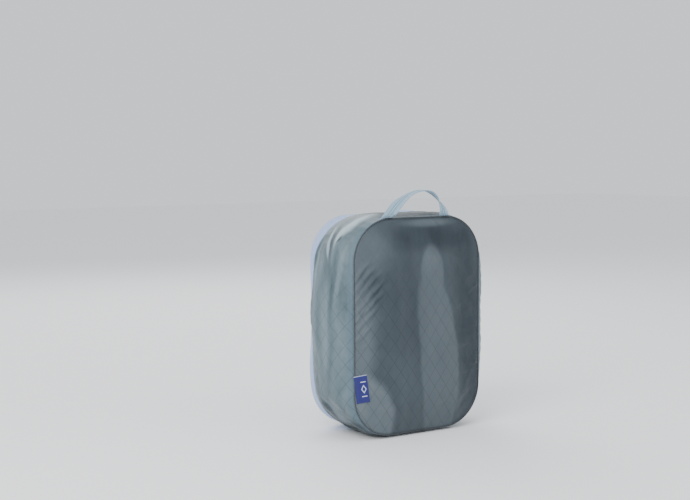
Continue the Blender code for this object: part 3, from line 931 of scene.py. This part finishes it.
def fold(x, z, start, way, length, width, height):
    """A crease that starts sharp at one point and runs out, in metres; way is in degrees."""
    cos, sin = direction(way)
    along = ((x - start[0]) * cos + (z - start[1]) * sin) / length
    aside = -(x - start[0]) * sin + (z - start[1]) * cos
    spread = width * (0.5 + 0.9 * np.clip(along, 0, 1))
    rise = np.clip(along / 0.12, 0, 1) * np.clip(1 - along, 0, 1) ** 1.2 * (along > 0)
    return height * rise * (bell(aside, 0.0, spread) - 0.45 * bell(aside, 1.5 * spread, spread))


# Creases of the front panel: start, direction in degrees, length, width and height
FRONT_FOLDS = (
    ((-0.087, 0.185), 54, 0.026, 0.0020, 0.0018),
    ((-0.087, 0.175), 50, 0.034, 0.0022, 0.0022),
    ((-0.087, 0.164), 50, 0.036, 0.0022, 0.0022),
    ((-0.087, 0.153), 47, 0.044, 0.0024, 0.0024),
    ((-0.087, 0.143), 45, 0.052, 0.0026, 0.0026),
    ((-0.087, 0.132), 46, 0.040, 0.0022, 0.0020),
    ((-0.087, 0.121), 48, 0.034, 0.0022, 0.0018),
    ((-0.087, 0.108), 40, 0.028, 0.0022, 0.0014),
    ((-0.086, 0.104), 24, 0.028, 0.0026, 0.0008),
    ((-0.084, 0.196), 25, 0.036, 0.0030, 0.0011),
    ((-0.052, 0.196), -112, 0.070, 0.0050, 0.0019),
    ((0.004, 0.247), -105, 0.030, 0.0030, 0.0016),
    ((0.022, 0.248), -75, 0.026, 0.0028, 0.0016),
    ((0.030, 0.215), -78, 0.160, 0.0070, 0.0012),
    ((-0.012, 0.205), -84, 0.150, 0.0080, 0.0010),
    ((0.060, 0.240), -115, 0.040, 0.0034, 0.0014),
    ((0.087, 0.170), 205, 0.030, 0.0030, 0.0014),
    ((0.087, 0.120), 160, 0.030, 0.0030, 0.0013),
    ((0.086, 0.075), 170, 0.026, 0.0030, 0.0013),
    ((-0.060, 0.010), 70, 0.040, 0.0034, 0.0013),
    ((-0.030, 0.006), 80, 0.034, 0.0030, 0.0012),
    ((0.012, 0.006), 95, 0.034, 0.0030, 0.0012),
    ((0.046, 0.008), 110, 0.040, 0.0032, 0.0013),
)


def near_label(x, z):
    """1 beneath the label, falling to 0 around it."""
    return bell(x, 0.014 - WIDTH / 2, 0.016) * bell(z, LABEL_CENTRE_Z, 0.026, 4)


def panel_height(x, z, inset, swell_share, folds, rough, seed):
    """Outward height of a filled panel: film, creases and puckers at the seam."""
    inside = inside_outline(inset, x, z)
    ramp = np.clip(inside / 0.004, 0, 1)
    rough = rough * (1 - 0.9 * near_label(x, z))
    height = swell_share.copy()
    spot = np.full(len(x), seed)
    angle = np.arctan2(z - HEIGHT / 2, x)
    pucker = crumple(np.cos(angle) * 9, spot, np.sin(angle) * 9, (1.0, 1.0, 1.0))
    height += rough * 0.55 * pucker * np.exp(-inside / 0.010) * ramp
    height += rough * crumple(x, spot, z, (34, 1, 15)) * ramp
    height += rough * 0.45 * crumple(x, spot + 3, z, (90, 1, 60)) * ramp
    for spec in folds:
        height += fold(x, z, *spec) * ramp
    return height


def panel(name, node, material, body, inset, edge_y, bulge, folds, rough, seed, growth, pressure):
    """One filled panel, settled by cloth simulation with its rim held by the seam."""
    flat, faces, rim_count = panel_points(inset)
    x, z = flat[:, 0], flat[:, 1]
    film = membrane(len(flat), faces, rim_count) ** 0.72
    height = panel_height(x, z, inset, film * abs(bulge), folds, rough, seed)
    y = edge_y + math.copysign(1, bulge) * height
    mesh = bpy.data.meshes.new(name)
    mesh.from_pydata(np.stack([x, y, z], axis=1).tolist(), [], [tuple(f) for f in faces])
    loops = np.array([loop.vertex_index for loop in mesh.loops])
    mesh.uv_layers.new(name="Cloth").data.foreach_set("uv", flat[loops].ravel())
    outwards(mesh, lambda centre: Vector((0, bulge, 0)))
    obj = finished(name, mesh, material, body, [node])
    loose = np.clip(inside_outline(inset, x, z) / 0.025, 0.15, 1)
    if bulge < 0:
        loose *= 1 - near_label(x, z)
    settle(obj, list(range(rim_count)), growth, pressure, 0.0035, loose)
    thick(obj)


def settle(obj, pinned, growth, pressure, most, loose):
    """Let a slightly large cloth crumple under the contents' pressure.

    No point moves further than most, and loose is each point's share of its move.
    """
    mesh = obj.data
    before = coordinates(mesh)
    pins = obj.vertex_groups.new(name="pins")
    pins.add(pinned, 1.0, "REPLACE")
    cloth = obj.modifiers.new("cloth", "CLOTH")
    for key, value in CLOTH_RULES.items():
        setattr(cloth.settings, key, value)
    cloth.settings.vertex_group_mass = "pins"
    cloth.settings.uniform_pressure_force = pressure
    cloth.settings.shrink_min = -growth
    cloth.settings.effector_weights.gravity = 0.0
    cloth.collision_settings.use_collision = False
    scene = bpy.context.scene
    for number in range(1, SETTLE_FRAMES + 1):
        scene.frame_set(number)
    move = coordinates(obj.evaluated_get(bpy.context.evaluated_depsgraph_get()).data) - before
    size = np.linalg.norm(move, axis=1)
    move *= np.where(size > most, most / np.maximum(size, 1e-9), 1.0)[:, None]
    move *= loose[:, None]
    obj.modifiers.remove(cloth)
    obj.vertex_groups.remove(pins)
    scene.frame_set(1)
    move_to(mesh, before + move)


def gusset_profile():
    """Inset and depth of the gusset across its strip, drawn in at both seams."""
    depths = np.linspace(FRONT_SEAM_Y + 0.0002, GUSSET_REAR_Y + 0.0006, 34)
    insets = np.interp(depths, *GUSSET_INSETS)
    for _ in range(3):
        insets[1:-1] = np.convolve(insets, (0.25, 0.5, 0.25), "same")[1:-1]
    return insets, depths


def gusset_relief(flat, across, run, normals):
    """Outward move of each point of the gusset: streaks, seam puckers, and the full and drawn-in places."""
    x, y, z = flat.T
    held = np.clip(np.minimum(across, 1 - across) / 0.10, 0, 1)
    streaks = crumple(*flat.T, (26, 70, 9))
    broad = crumple(*flat.T + 4.0, (14, 26, 14))
    fine = crumple(*flat.T + 9.0, (80, 90, 45))
    pleats = np.sin(run * 2 * math.pi / PUCKER_PITCH + 2.2 * crumple(*flat.T + 2, (18, 18, 18)))
    cornering = np.minimum(np.abs(normals[:, 0]), np.abs(normals[:, 1]))
    near_seam = np.exp(-across / 0.16) + 0.8 * np.exp(-(1 - across) / 0.14)
    move = held * (0.0011 * streaks + 0.0007 * broad + 0.0004 * fine)
    move += held * near_seam * pleats * (0.00025 + 0.0009 * cornering)
    pinch = bell(y, 0.013, 0.011) * bell(z, 0.216, 0.022)
    beside = bell(y, -0.034, 0.0085) * bell(z, 0.130, 0.084, 4)
    move -= CORNER_PINCH * pinch * (x < 0) * held
    move += RIGHT_FULLNESS * beside * (x > 0) * held
    return np.where(normals[:, 1] < -0.6, np.minimum(move, 0.0) * 0.5, move)


def gusset():
    """The long strip of cloth between the front seam and the compression zipper."""
    path = CLOSED_PATH
    insets, depths = gusset_profile()
    rings = path.rings(zip(insets, depths))
    nu, nv = rings.shape[:2]
    flat = rings.reshape(-1, 3)
    across = np.tile(np.linspace(0, 1, nv), nu)
    move = gusset_relief(flat, across, np.repeat(path.length[:nu], nv), np.repeat(path.normals, nv, axis=0))
    flat = flat + np.repeat(path.outward(), nv, axis=0) * move[:, None]
    flat[:, 2] = np.maximum(flat[:, 2], 0.0)
    total = path.length[-1]
    u = path.length * (round(total / DIAMOND[1]) * DIAMOND[1] / total)
    v = running(np.stack([insets, depths], axis=1))
    mesh = outwards(grid_mesh("gusset_cloth", flat.reshape(nu, nv, 3), True, False, u, v), from_axis)
    obj = finished("gusset_cloth", mesh, GUSSET, "front_shell", ["front_gusset"])
    pinned = [i * nv + j for i in range(nu) for j in (0, nv - 1)]
    high, left_wall = flat[:, 2] > HEIGHT - 0.026, flat[:, 0] < -0.07
    settle(obj, pinned, 0.012, 1.2, 0.003, np.where(high, 0.3, np.where(left_wall, 0.6, 1.0)))
    co = coordinates(mesh)
    co[:, 2] = np.maximum(co[:, 2], 0.0002)
    move_to(mesh, co)
    thick(obj)


def ridge(name, inset, y, lean, length, material, body, node):
    """The thin folded line of a seam; lean is in degrees."""
    cos, sin = direction(lean)
    profile = []
    for angle in np.linspace(0, 2 * math.pi, 10, endpoint=False):
        a, b = length * math.cos(angle), 0.0005 * math.sin(angle)
        profile.append((inset - a * cos - b * sin, y + a * sin - b * cos))
    sweep(name, profile, material, body, [node])


def binding(name, start, body, node):
    """The woven tape over the raw edges inside a seam."""
    stations = start + np.linspace(0, BINDING_WIDTH, 4)
    sweep(name, wall(BINDING_INSET, stations, BINDING_THICKNESS), BINDING, body, [node])


def compression_side(word, side, edges, sewn_y, phase):
    """One half of the compression zipper: its tape, its coil and the stitches at its sewn edge."""
    body = word + "_shell"
    tape = wall(BAND_INSET, np.linspace(*edges, 7), TAPE_THICKNESS)
    sweep("zipper_tape_" + word, tape, TAPE, body, ["compression_tape_" + word])
    coil_y = ZIP_LINE_Y + side * COIL_OFFSET
    nodes = ["compression_coil_" + word]
    coil("zipper_coil_" + word, BAND_INSET + 0.0022, coil_y, "depth", body, nodes, phase)
    outline_stitches(f"tape_{word}_stitches", BAND_INSET - 0.0001, sewn_y, "depth", body)


def main_side(word, side, edges, sewn_inset, body, phase):
    """One half of the back's zipper, in the same way."""
    tape = level(*edges, BACK_Y - 0.0002, BACK_Y + 0.0004)
    sweep(f"main_tape_{word}_woven", tape, TAPE, body, ["main_tape_" + word], closed=False)
    inset = MAIN_ZIP_INSET + side * COIL_OFFSET
    coil(f"main_coil_{word}_nylon", inset, BACK_Y - 0.0013, "level", body, ["main_coil_" + word], phase)
    outline_stitches(f"main_{word}_stitches", sewn_inset, BACK_Y + 0.0004, "level", body)


def front_half():
    body = "front_shell"
    panel(
        "front_panel_cloth", "front_panel", RIPSTOP, body, FRONT_CLOTH_INSET, FRONT_SEAM_Y - 0.0002,
        -FRONT_BULGE, FRONT_FOLDS, 0.0011, 1.7, 0.010, 1.5,
    )
    gusset()
    inset = SEAM_INSET + 0.0001
    # The dark ridge is partly painted shade in the front seam's valley
    ridge("front_seam_ridge", inset, FRONT_SEAM_Y, -40, 0.0011, DARK_SEAM_AND_SHADE_CLOTH, body, "front_piping")
    binding("front_seam_tape", GUSSET_FRONT_Y - GAP, body, "front_seam_binding")
    binding("hem_tape", GUSSET_REAR_Y - BINDING_WIDTH / 2, body, "gusset_hem_binding")
    edges = (TAPE_FRONT_Y - 0.0010, ZIP_LINE_Y - GAP / 2)
    compression_side("front", -1, edges, TAPE_FRONT_Y + 0.0008, 0.0)


def rear_half():
    body = "rear_shell"
    edges = (ZIP_LINE_Y + GAP / 2, TAPE_REAR_Y + 0.0006)
    compression_side("rear", 1, edges, TAPE_REAR_Y - 0.0012, math.pi)
    inset, y = SEAM_INSET + 0.0004, REAR_SEAM_Y + 0.0004
    ridge("rear_seam_ridge", inset, y, -68, 0.0021, BACK_SEAM, body, "rear_piping")
    binding("rear_seam_tape", TAPE_REAR_Y - BINDING_WIDTH / 2, body, "rear_seam_binding")
    rim = level(PANEL_INSET - 0.0004, FRAME_INNER_INSET + 0.0008, BACK_Y - 0.0005, BACK_Y, 7)
    sweep("back_rim_cloth", rim, BACK_RIPSTOP, body, ["rear_frame_panel"])
    edges = (TAPE_OUTER_INSET - 0.0004, MAIN_ZIP_INSET - 0.0003)
    main_side("outer", -1, edges, TAPE_OUTER_INSET + 0.0006, body, 0.0)


def hinge_strip():
    """One band of grosgrain that carries the lid, across where the two halves meet."""
    across = np.linspace(WIDTH / 2 - TAPE_INNER_INSET - 0.0006, WIDTH / 2 - TAPE_OUTER_INSET + 0.0004, 15)
    along = np.linspace(HINGE_Z[0] - 0.0002, HINGE_Z[1] + 0.0002, 66)
    rings = []
    for z in along:
        front = [(x, BACK_Y + 0.0002 + 0.00012 * math.sin(x * 2600), z) for x in across]
        rings.append(front + [(x, BACK_Y - 0.0006, z) for x in across[::-1]])
    points = np.array(rings)
    mesh = grid_mesh("hinge_strip", points, False, True, along, running(closed_up(points[0])), caps=True)
    obj = finished("hinge_strip", outwards(mesh), BINDING, None, ["hinge_tape_frame", "hinge_tape_lid"])
    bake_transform(obj)


def lid_half():
    panel(
        "lid_panel_cloth", "lid_panel", BACK_RIPSTOP, "lid", LID_INSET, BACK_Y - 0.0002,
        LID_BULGE, (), 0.0006, 8.3, 0.006, 0.8,
    )
    edges = (MAIN_ZIP_INSET + 0.0003, TAPE_INNER_INSET + 0.0006)
    main_side("inner", 1, edges, TAPE_INNER_INSET - 0.0004, "lid", math.pi)
    seam = level(0.0224, 0.0268, BACK_Y - 0.0026, BACK_Y - 0.0019)
    sweep("lid_seam_tape", seam, BINDING, "lid", ["lid_seam_binding"], closed=False)


def pleat():
    """The strip of cloth folded away inside the closed compression zipper."""
    half = (TAPE_REAR_Y - TAPE_FRONT_Y) / 2 + 0.0006
    stations = np.linspace(-1, 1, 17)
    depth = np.cos(stations * math.pi / 2) ** 1.4
    path = CLOSED_PATH
    points = path.rings(zip(PLEAT_INSET + PLEAT_DEPTH * depth, ZIP_LINE_Y + stations * half))
    nu, nv = points.shape[:2]
    flat = points.reshape(-1, 3)
    outward = np.repeat(path.outward(), nv, axis=0)
    flat = flat + outward * (np.tile(depth, nu) * 0.0009 * crumple(*flat.T, (60, 40, 60)))[:, None]
    v = running(np.stack([depth * PLEAT_DEPTH, stations * half], axis=1))
    mesh = grid_mesh("pleat_cloth", flat.reshape(nu, nv, 3), True, False, path.length, v * 1.6)
    obj = finished("pleat_cloth", outwards(mesh, from_axis), PLEAT_RIPSTOP, None, ["compression_pleat"])
    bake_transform(obj)
    thick(obj, 0.0003)


# Handle and label

def handle_line(count):
    """Middle line of the loop, evenly spaced; each leg is a power curve from its foot to the crest."""
    legs = []
    for foot, roundness in zip(HANDLE_FEET, LEG_ROUNDNESS):
        end = (1 + FOOT_DEPTH / HANDLE_RISE) ** (1 / roundness)
        share = np.linspace(0, end, count)
        x = HANDLE_CREST_X + (foot - HANDLE_CREST_X) * share
        z = HANDLE_FOOT_Z + HANDLE_RISE * (1 - share ** roundness)
        behind = FOOT_TUCK * np.clip((HANDLE_FOOT_Z + FOOT_DEPTH - z) / (2 * FOOT_DEPTH), 0, 1)
        legs.append(np.stack([x, FRONT_SEAM_Y + behind, z], axis=1))
    line = np.vstack([legs[0][::-1], legs[1][1:]])
    along = running(line)
    even = np.linspace(0, along[-1], count)
    return np.stack([np.interp(even, along, line[:, k]) for k in range(3)], axis=1)


def webbing_halves(centres, ahead):
    """Half the webbing's width at each point, along the seam at the feet and across it at the crest."""
    share = running(centres) / running(centres)[-1]
    turn = math.pi / 2 * (ease(share / LEFT_TURN) + ease((share - 1 + RIGHT_TURN) / RIGHT_TURN))
    flat = np.zeros(len(turn))
    ways = np.stack([np.cos(turn), -np.sin(turn), flat], axis=1)
    ways = unit(ways - ahead * (ways * ahead).sum(axis=1)[:, None])
    rise = np.maximum(np.abs(ahead[:, 2]), 0.5)
    cut = np.stack([np.sign(np.cos(turn)) / rise, flat, flat], axis=1)
    sewn = ease((HANDLE_FOOT_Z + FOOT_DEPTH - centres[:, 2]) / FOOT_DEPTH)[:, None]
    return (ways * (1 - sewn) + cut * sewn) * HANDLE_WEBBING / 2


def handle():
    """The ribbed webbing loop, bending at its seam, with its bar tacks."""
    centres = handle_line(HANDLE_STEPS)
    ahead = heading(centres)
    halves = webbing_halves(centres, ahead)
    thin = unit(np.cross(halves, ahead))
    places = np.linspace(-1, 1, 41)
    relief = 0.00007 * np.cos(places * 6 * math.pi) - 0.00016 * bell(np.abs(places), 0.24, 0.05)
    edge = 1 - np.clip((np.abs(places) - 0.90) / 0.10, 0, 1) ** 2 * 0.75
    depth = WEBBING_THICKNESS / 2 * edge + relief
    wide = np.concatenate([places, places[::-1]])
    deep = np.concatenate([depth, -depth[::-1]])
    points = centres[:, None] + halves[:, None] * wide[:, None] + thin[:, None] * deep[:, None]
    v = np.concatenate([places + 1, places + 1, [0.0]]) * HANDLE_WEBBING / 2
    mesh = grid_mesh("handle_loop", points, False, True, running(centres), v, caps=True)
    loop = finished("handle_loop", outwards(mesh), WEBBING, None, ["handle_webbing"])
    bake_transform(loop)
    for x, word in zip(HANDLE_FEET, ("left", "right")):
        run = repeated((x, FRONT_SEAM_Y - 0.0013, HEIGHT - 0.0032), TACK_STEPS)
        run[:, 0] = np.linspace(x - 0.0054, x + 0.0054, TACK_STEPS)
        way, out = repeated((1.0, 0.0, 0.0), TACK_STEPS), repeated((0.0, -0.8, 0.6), TACK_STEPS)
        row = stitches("handle_tack_" + word, run, way, out, THREAD, "front_shell", 0.0018, 0.0020, 0.00042)
        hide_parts("handle_bar_tack_" + word)


def label():
    """The folded woven tab: two layers joined by a round fold at the outer edge."""
    half = LABEL_FOLD
    reach = LABEL_WIDTH - half - 0.0012
    line = [(x, -half) for x in np.linspace(-LABEL_ROOT, reach, 15)]
    line += [(reach + half * math.sin(a), -half * math.cos(a)) for a in np.linspace(0, math.pi, 8)[1:-1]]
    line += [(x, half) for x in np.linspace(reach, -LABEL_ROOT, 15)]
    rows = np.linspace(-LABEL_HEIGHT / 2, LABEL_HEIGHT / 2, 24)
    turn = Matrix.Rotation(-LABEL_LEAN, 4, "Z")
    origin = Vector((-WIDTH / 2 + LABEL_INSET, LABEL_Y, LABEL_CENTRE_Z))
    points = []
    for z in rows:
        curl = 0.0006 * math.sin(z * 90)
        follow = Vector((-z * LABEL_SLANT + LABEL_SLANT * 0.006, 0.0, 0.0))
        for x, y in line:
            out = max(x, 0.0)
            free = turn @ Vector((out, curl * (out / LABEL_WIDTH) ** 2, 0.0))
            points.append(origin + follow + (Vector((x - out, y, z + 0.10 * x)) + free))
    points = np.array([tuple(p) for p in points]).reshape(len(rows), len(line), 3)
    u = running(np.array(line))
    mesh = grid_mesh("label_tab", points.transpose(1, 0, 2), False, False, u, rows + LABEL_HEIGHT / 2)
    outwards(mesh, lambda c: Vector((0, c.y - LABEL_Y, 0)))
    obj = finished("label_tab", mesh, LABEL, None, ["side_label"])
    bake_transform(obj)
    thick(obj, 0.0003)


# Sliders and pulls

def facing_frame(origin, sideways, up, outward):
    facing = Matrix((sideways, up, outward)).transposed().to_4x4()
    facing.translation = Vector(origin)
    return facing


def plate(name, long_half, short_half, low, high, along_y):
    """A slider's plate: an outline that narrows towards its nose, with rounded edges."""
    a, b = squared(np.linspace(0, 2 * math.pi, 40, endpoint=False), 0.62)
    a, b = a * long_half, b * short_half * (1 - 0.16 * a)
    mesh = bpy.data.meshes.new(name)
    with edited(mesh) as shape:
        points = zip(b, a) if along_y else zip(a, b)
        face = shape.faces.new([shape.verts.new((x, y + 0.001, low)) for x, y in points])
        top = bmesh.ops.extrude_face_region(shape, geom=[face])["geom"]
        moved = [v for v in top if isinstance(v, bmesh.types.BMVert)]
        bmesh.ops.translate(shape, verts=moved, vec=(0, 0, high - low))
    return outwards(mesh)


def joined(name, meshes, facing):
    """Several closed meshes as one, placed by facing."""
    result = bpy.data.meshes.new(name)
    with edited(result) as shape:
        for mesh in meshes:
            shape.from_mesh(mesh)
            bpy.data.meshes.remove(mesh)
        bmesh.ops.transform(shape, matrix=facing, verts=shape.verts)
    return result


def slider(name, facing, along_y, body):
    """The upper plate and the arched bail of one slider."""
    base = -PULL_PIVOT_HEIGHT - SLIDER_HEIGHT
    upper = plate("upper", SLIDER_LENGTH / 2, SLIDER_WIDTH / 2, base, base + SLIDER_HEIGHT, along_y)
    line = smooth_line([(0.0, y, z) for y, z in BAIL_ARCH], 5)
    bail = tube("bail", line, (1.0, 0.0, 0.0), 0.0009, 0.00035, 12, 3.5)
    mesh = joined(name + "_metal", [upper, bail], facing)
    obj = finished(name + "_metal", mesh, ZINC, body, [name + "_body"])
    edge = obj.modifiers.new("rounding", "BEVEL")
    edge.width = 0.00035
    edge.segments = 3
    edge.limit_method = "ANGLE"
    edge.angle_limit = math.radians(40)


def smooth_line(points, steps):
    """A Catmull-Rom line through the points."""
    points = [np.array(p, float) for p in points]
    padded = [2 * points[0] - points[1]] + points + [2 * points[-1] - points[-2]]
    line = []
    for a, b, c, d in zip(padded, padded[1:], padded[2:], padded[3:]):
        for k in range(steps):
            t = k / steps
            bend = (2 * a - 5 * b + 4 * c - d) * t ** 2 + (3 * b - a - 3 * c + d) * t ** 3
            line.append(0.5 * (2 * b + (c - a) * t + bend))
    line.append(points[-1])
    return np.array(line)


def rounded_end(distance, length):
    """Share of full width at a distance from a round end, within length of it."""
    return np.sqrt(np.maximum(0.0, 1 - (1 - np.minimum(distance / length, 1.0)) ** 2))


def pull(name, facing, body):
    """A wire link through the bail and a ridged moulded grip below it."""
    x, y = squared(np.linspace(0, 2 * math.pi, 64, endpoint=False), 0.45)
    loop = np.stack([x * LINK_SIZE[0], y * LINK_SIZE[1] - LINK_DROP, np.zeros(64)], axis=1)
    wire = tube("wire", loop, (0.0, 0.0, 1.0), LINK_WIRE, LINK_WIRE, 10, closed=True)
    mesh = joined(name + "_wire", [wire], facing)
    finished(name + "_wire", mesh, ZINC, body, [name + "_link"])
    s = np.linspace(0, 1, 60)
    end = np.maximum(np.minimum(rounded_end(s, 0.05), rounded_end(1 - s, 0.07)), 0.06)
    widths = (0.0023 + 0.0007 * np.clip((s - 0.05) / 0.3, 0.0, 1.0)) * end
    low, high = GRIP_RIDGES
    ridged = np.maximum(0.0, np.sin((s - low) * 2 * math.pi / 0.085)) * (low < s) * (s < high)
    thicks = (0.00082 + 0.00016 * ridged) * np.maximum(end, 0.25)
    top, bottom = GRIP_SPAN
    line = np.stack([np.zeros(60), top + (bottom - top) * s, np.full(60, 0.0004)], axis=1)
    grip = tube("grip", line, (1.0, 0.0, 0.0), widths, thicks, 28, 4.0)
    mesh = joined(name + "_moulding", [grip], facing)
    finished(name + "_moulding", mesh, RUBBER, body, [name + "_grip"])


def sliders():
    outward = PULL_PIVOT_HEIGHT + SLIDER_HEIGHT + GAP
    for side, word in ((-1, "left"), (1, "right")):
        pivot = (side * (SLIDER_LENGTH / 2 + 2 * GAP), BACK_Y + outward, HEIGHT - MAIN_ZIP_INSET - 0.001)
        facing = facing_frame(pivot, (-1, 0, 0), (0, 0, 1), (0, 1, 0))
        slider("main_slider_" + word, facing, False, "main_slider_" + word)
        pull("main_pull_" + word, facing, "main_pull_" + word)
    facing = side_frame(ZIP_LINE_Y, HEIGHT / 2, outward)
    facing.translation.z = COMPRESSION_SLIDER_Z
    slider("compression_slider", facing, True, "compression_slider")
    pull("compression_pull", facing, "compression_pull")


def side_frame(y, z, stand_off):
    """Frame on the swollen +X side of the zipper band: local Z outwards, local Y up along it."""
    reach = 0.001
    spots = swollen(
        np.full(5, WIDTH / 2 - BAND_INSET),
        np.array([y, y, y, y - reach, y + reach]),
        np.array([z, z - reach, z + reach, z, z]),
    )
    rise = Vector(spots[2] - spots[1]).normalized()
    across = Vector(spots[4] - spots[3]).normalized()
    outward = across.cross(rise).normalized()
    return facing_frame(Vector(spots[0]) + outward * stand_off, rise.cross(outward), rise, outward)


def end_tab():
    """The folded cloth tab over the two ends of the compression zipper."""
    facing = side_frame(ZIP_LINE_Y - 0.0024, 0.048, 0.0006)
    line = np.zeros((24, 3))
    line[:, 1] = np.linspace(-0.0060, 0.0060, 24)
    ends = np.minimum(1.0, np.abs(np.abs(np.linspace(-1, 1, 24)) - 1) * 9 + 0.45)
    tab = tube("tab", line, (1.0, 0.0, 0.0), 0.0021 * ends ** 0.3, 0.00045 * ends, 16, 4.0)
    mesh = joined("end_tab_cloth", [tab], facing)
    finished("end_tab_cloth", mesh, BINDING, "front_shell", ["compression_end_tab"])


# Stage

# The camera's place and turn are what a least squares fit to the photo's front seam gave
CAMERA_TARGET = Vector((0.0, -0.005, 0.1275))
CAMERA_AZIMUTH = math.radians(-34.848)
CAMERA_RISE = math.radians(7.824)
CAMERA_DISTANCE = 1.437
CAMERA_TURN = math.radians(-2.498)
CAMERA_TILT = math.radians(3.30)
CAMERA_LENS = 63.5
# Name, place, size in metres and power in watts
LIGHTS = (
    ("key", (-1.3, -0.7, 1.2), 1.2, 26.0),
    ("fill", (1.0, -1.5, 0.8), 1.4, 8.0),
    ("rim", (0.3, 1.4, 1.3), 1.2, 14.0),
)


def turned(first, second, angle):
    """Two directions at right angles, both turned by an angle in their plane."""
    cos, sin = math.cos(angle), math.sin(angle)
    return first * cos - second * sin, second * cos + first * sin


def camera():
    """The photograph's viewing angle, turned a little so that the cube sits off centre."""
    flat = math.cos(CAMERA_RISE)
    back = Vector((math.sin(CAMERA_AZIMUTH) * flat, -math.cos(CAMERA_AZIMUTH) * flat, math.sin(CAMERA_RISE)))
    right = Vector((math.cos(CAMERA_AZIMUTH), math.sin(CAMERA_AZIMUTH), 0.0))
    up = back.cross(right)
    location = CAMERA_TARGET + back * CAMERA_DISTANCE
    back, right = turned(back, right, CAMERA_TURN)
    back, up = turned(back, up, CAMERA_TILT)
    data = bpy.data.cameras.new("camera")
    data.lens = CAMERA_LENS
    data.sensor_width = 36.0
    obj = placed("camera", data)
    obj.matrix_world = facing_frame(location, right, up, back)
    bpy.context.scene.camera = obj


def area_light(name, location, target, size, power):
    data = bpy.data.lights.new(name, "AREA")
    data.shape = "SQUARE"
    data.size = size
    data.energy = power
    obj = placed(name, data)
    obj.location = location
    obj.rotation_euler = (Vector(target) - Vector(location)).to_track_quat("-Z", "Y").to_euler()


def stage():
    mesh = bpy.data.meshes.new("floor")
    with edited(mesh) as shape:
        bmesh.ops.create_grid(shape, x_segments=1, y_segments=1, size=6.0)
    floor = placed("floor", mesh)
    floor.location.z = -0.0004
    finish = Finish("floor_paper", Roughness=0.9)
    mottle = finish.cloud(finish.place(), 3.0)
    finish.colour(finish.blend(mottle, (0.93, 0.935, 0.94), (0.95, 0.955, 0.96)))
    mesh.materials.append(finish.material)
    world = bpy.data.worlds.new("studio")
    world.use_nodes = True
    colour, strength = world.node_tree.nodes["Background"].inputs[:2]
    colour.default_value = (0.93, 0.96, 1.0, 1.0)
    strength.default_value = 1.0
    bpy.context.scene.world = world
    middle = (0.0, 0.0, 0.12)
    for name, location, size, power in LIGHTS:
        area_light(name, location, middle, size, power)


front_half()
rear_half()
hinge_strip()
lid_half()
pleat()
handle()
label()
sliders()
end_tab()
for node in ("main_end_stop_lower", "main_end_stop_upper"):
    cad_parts[node].data.materials.clear()
    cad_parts[node].data.materials.append(ZINC)
camera()
stage()
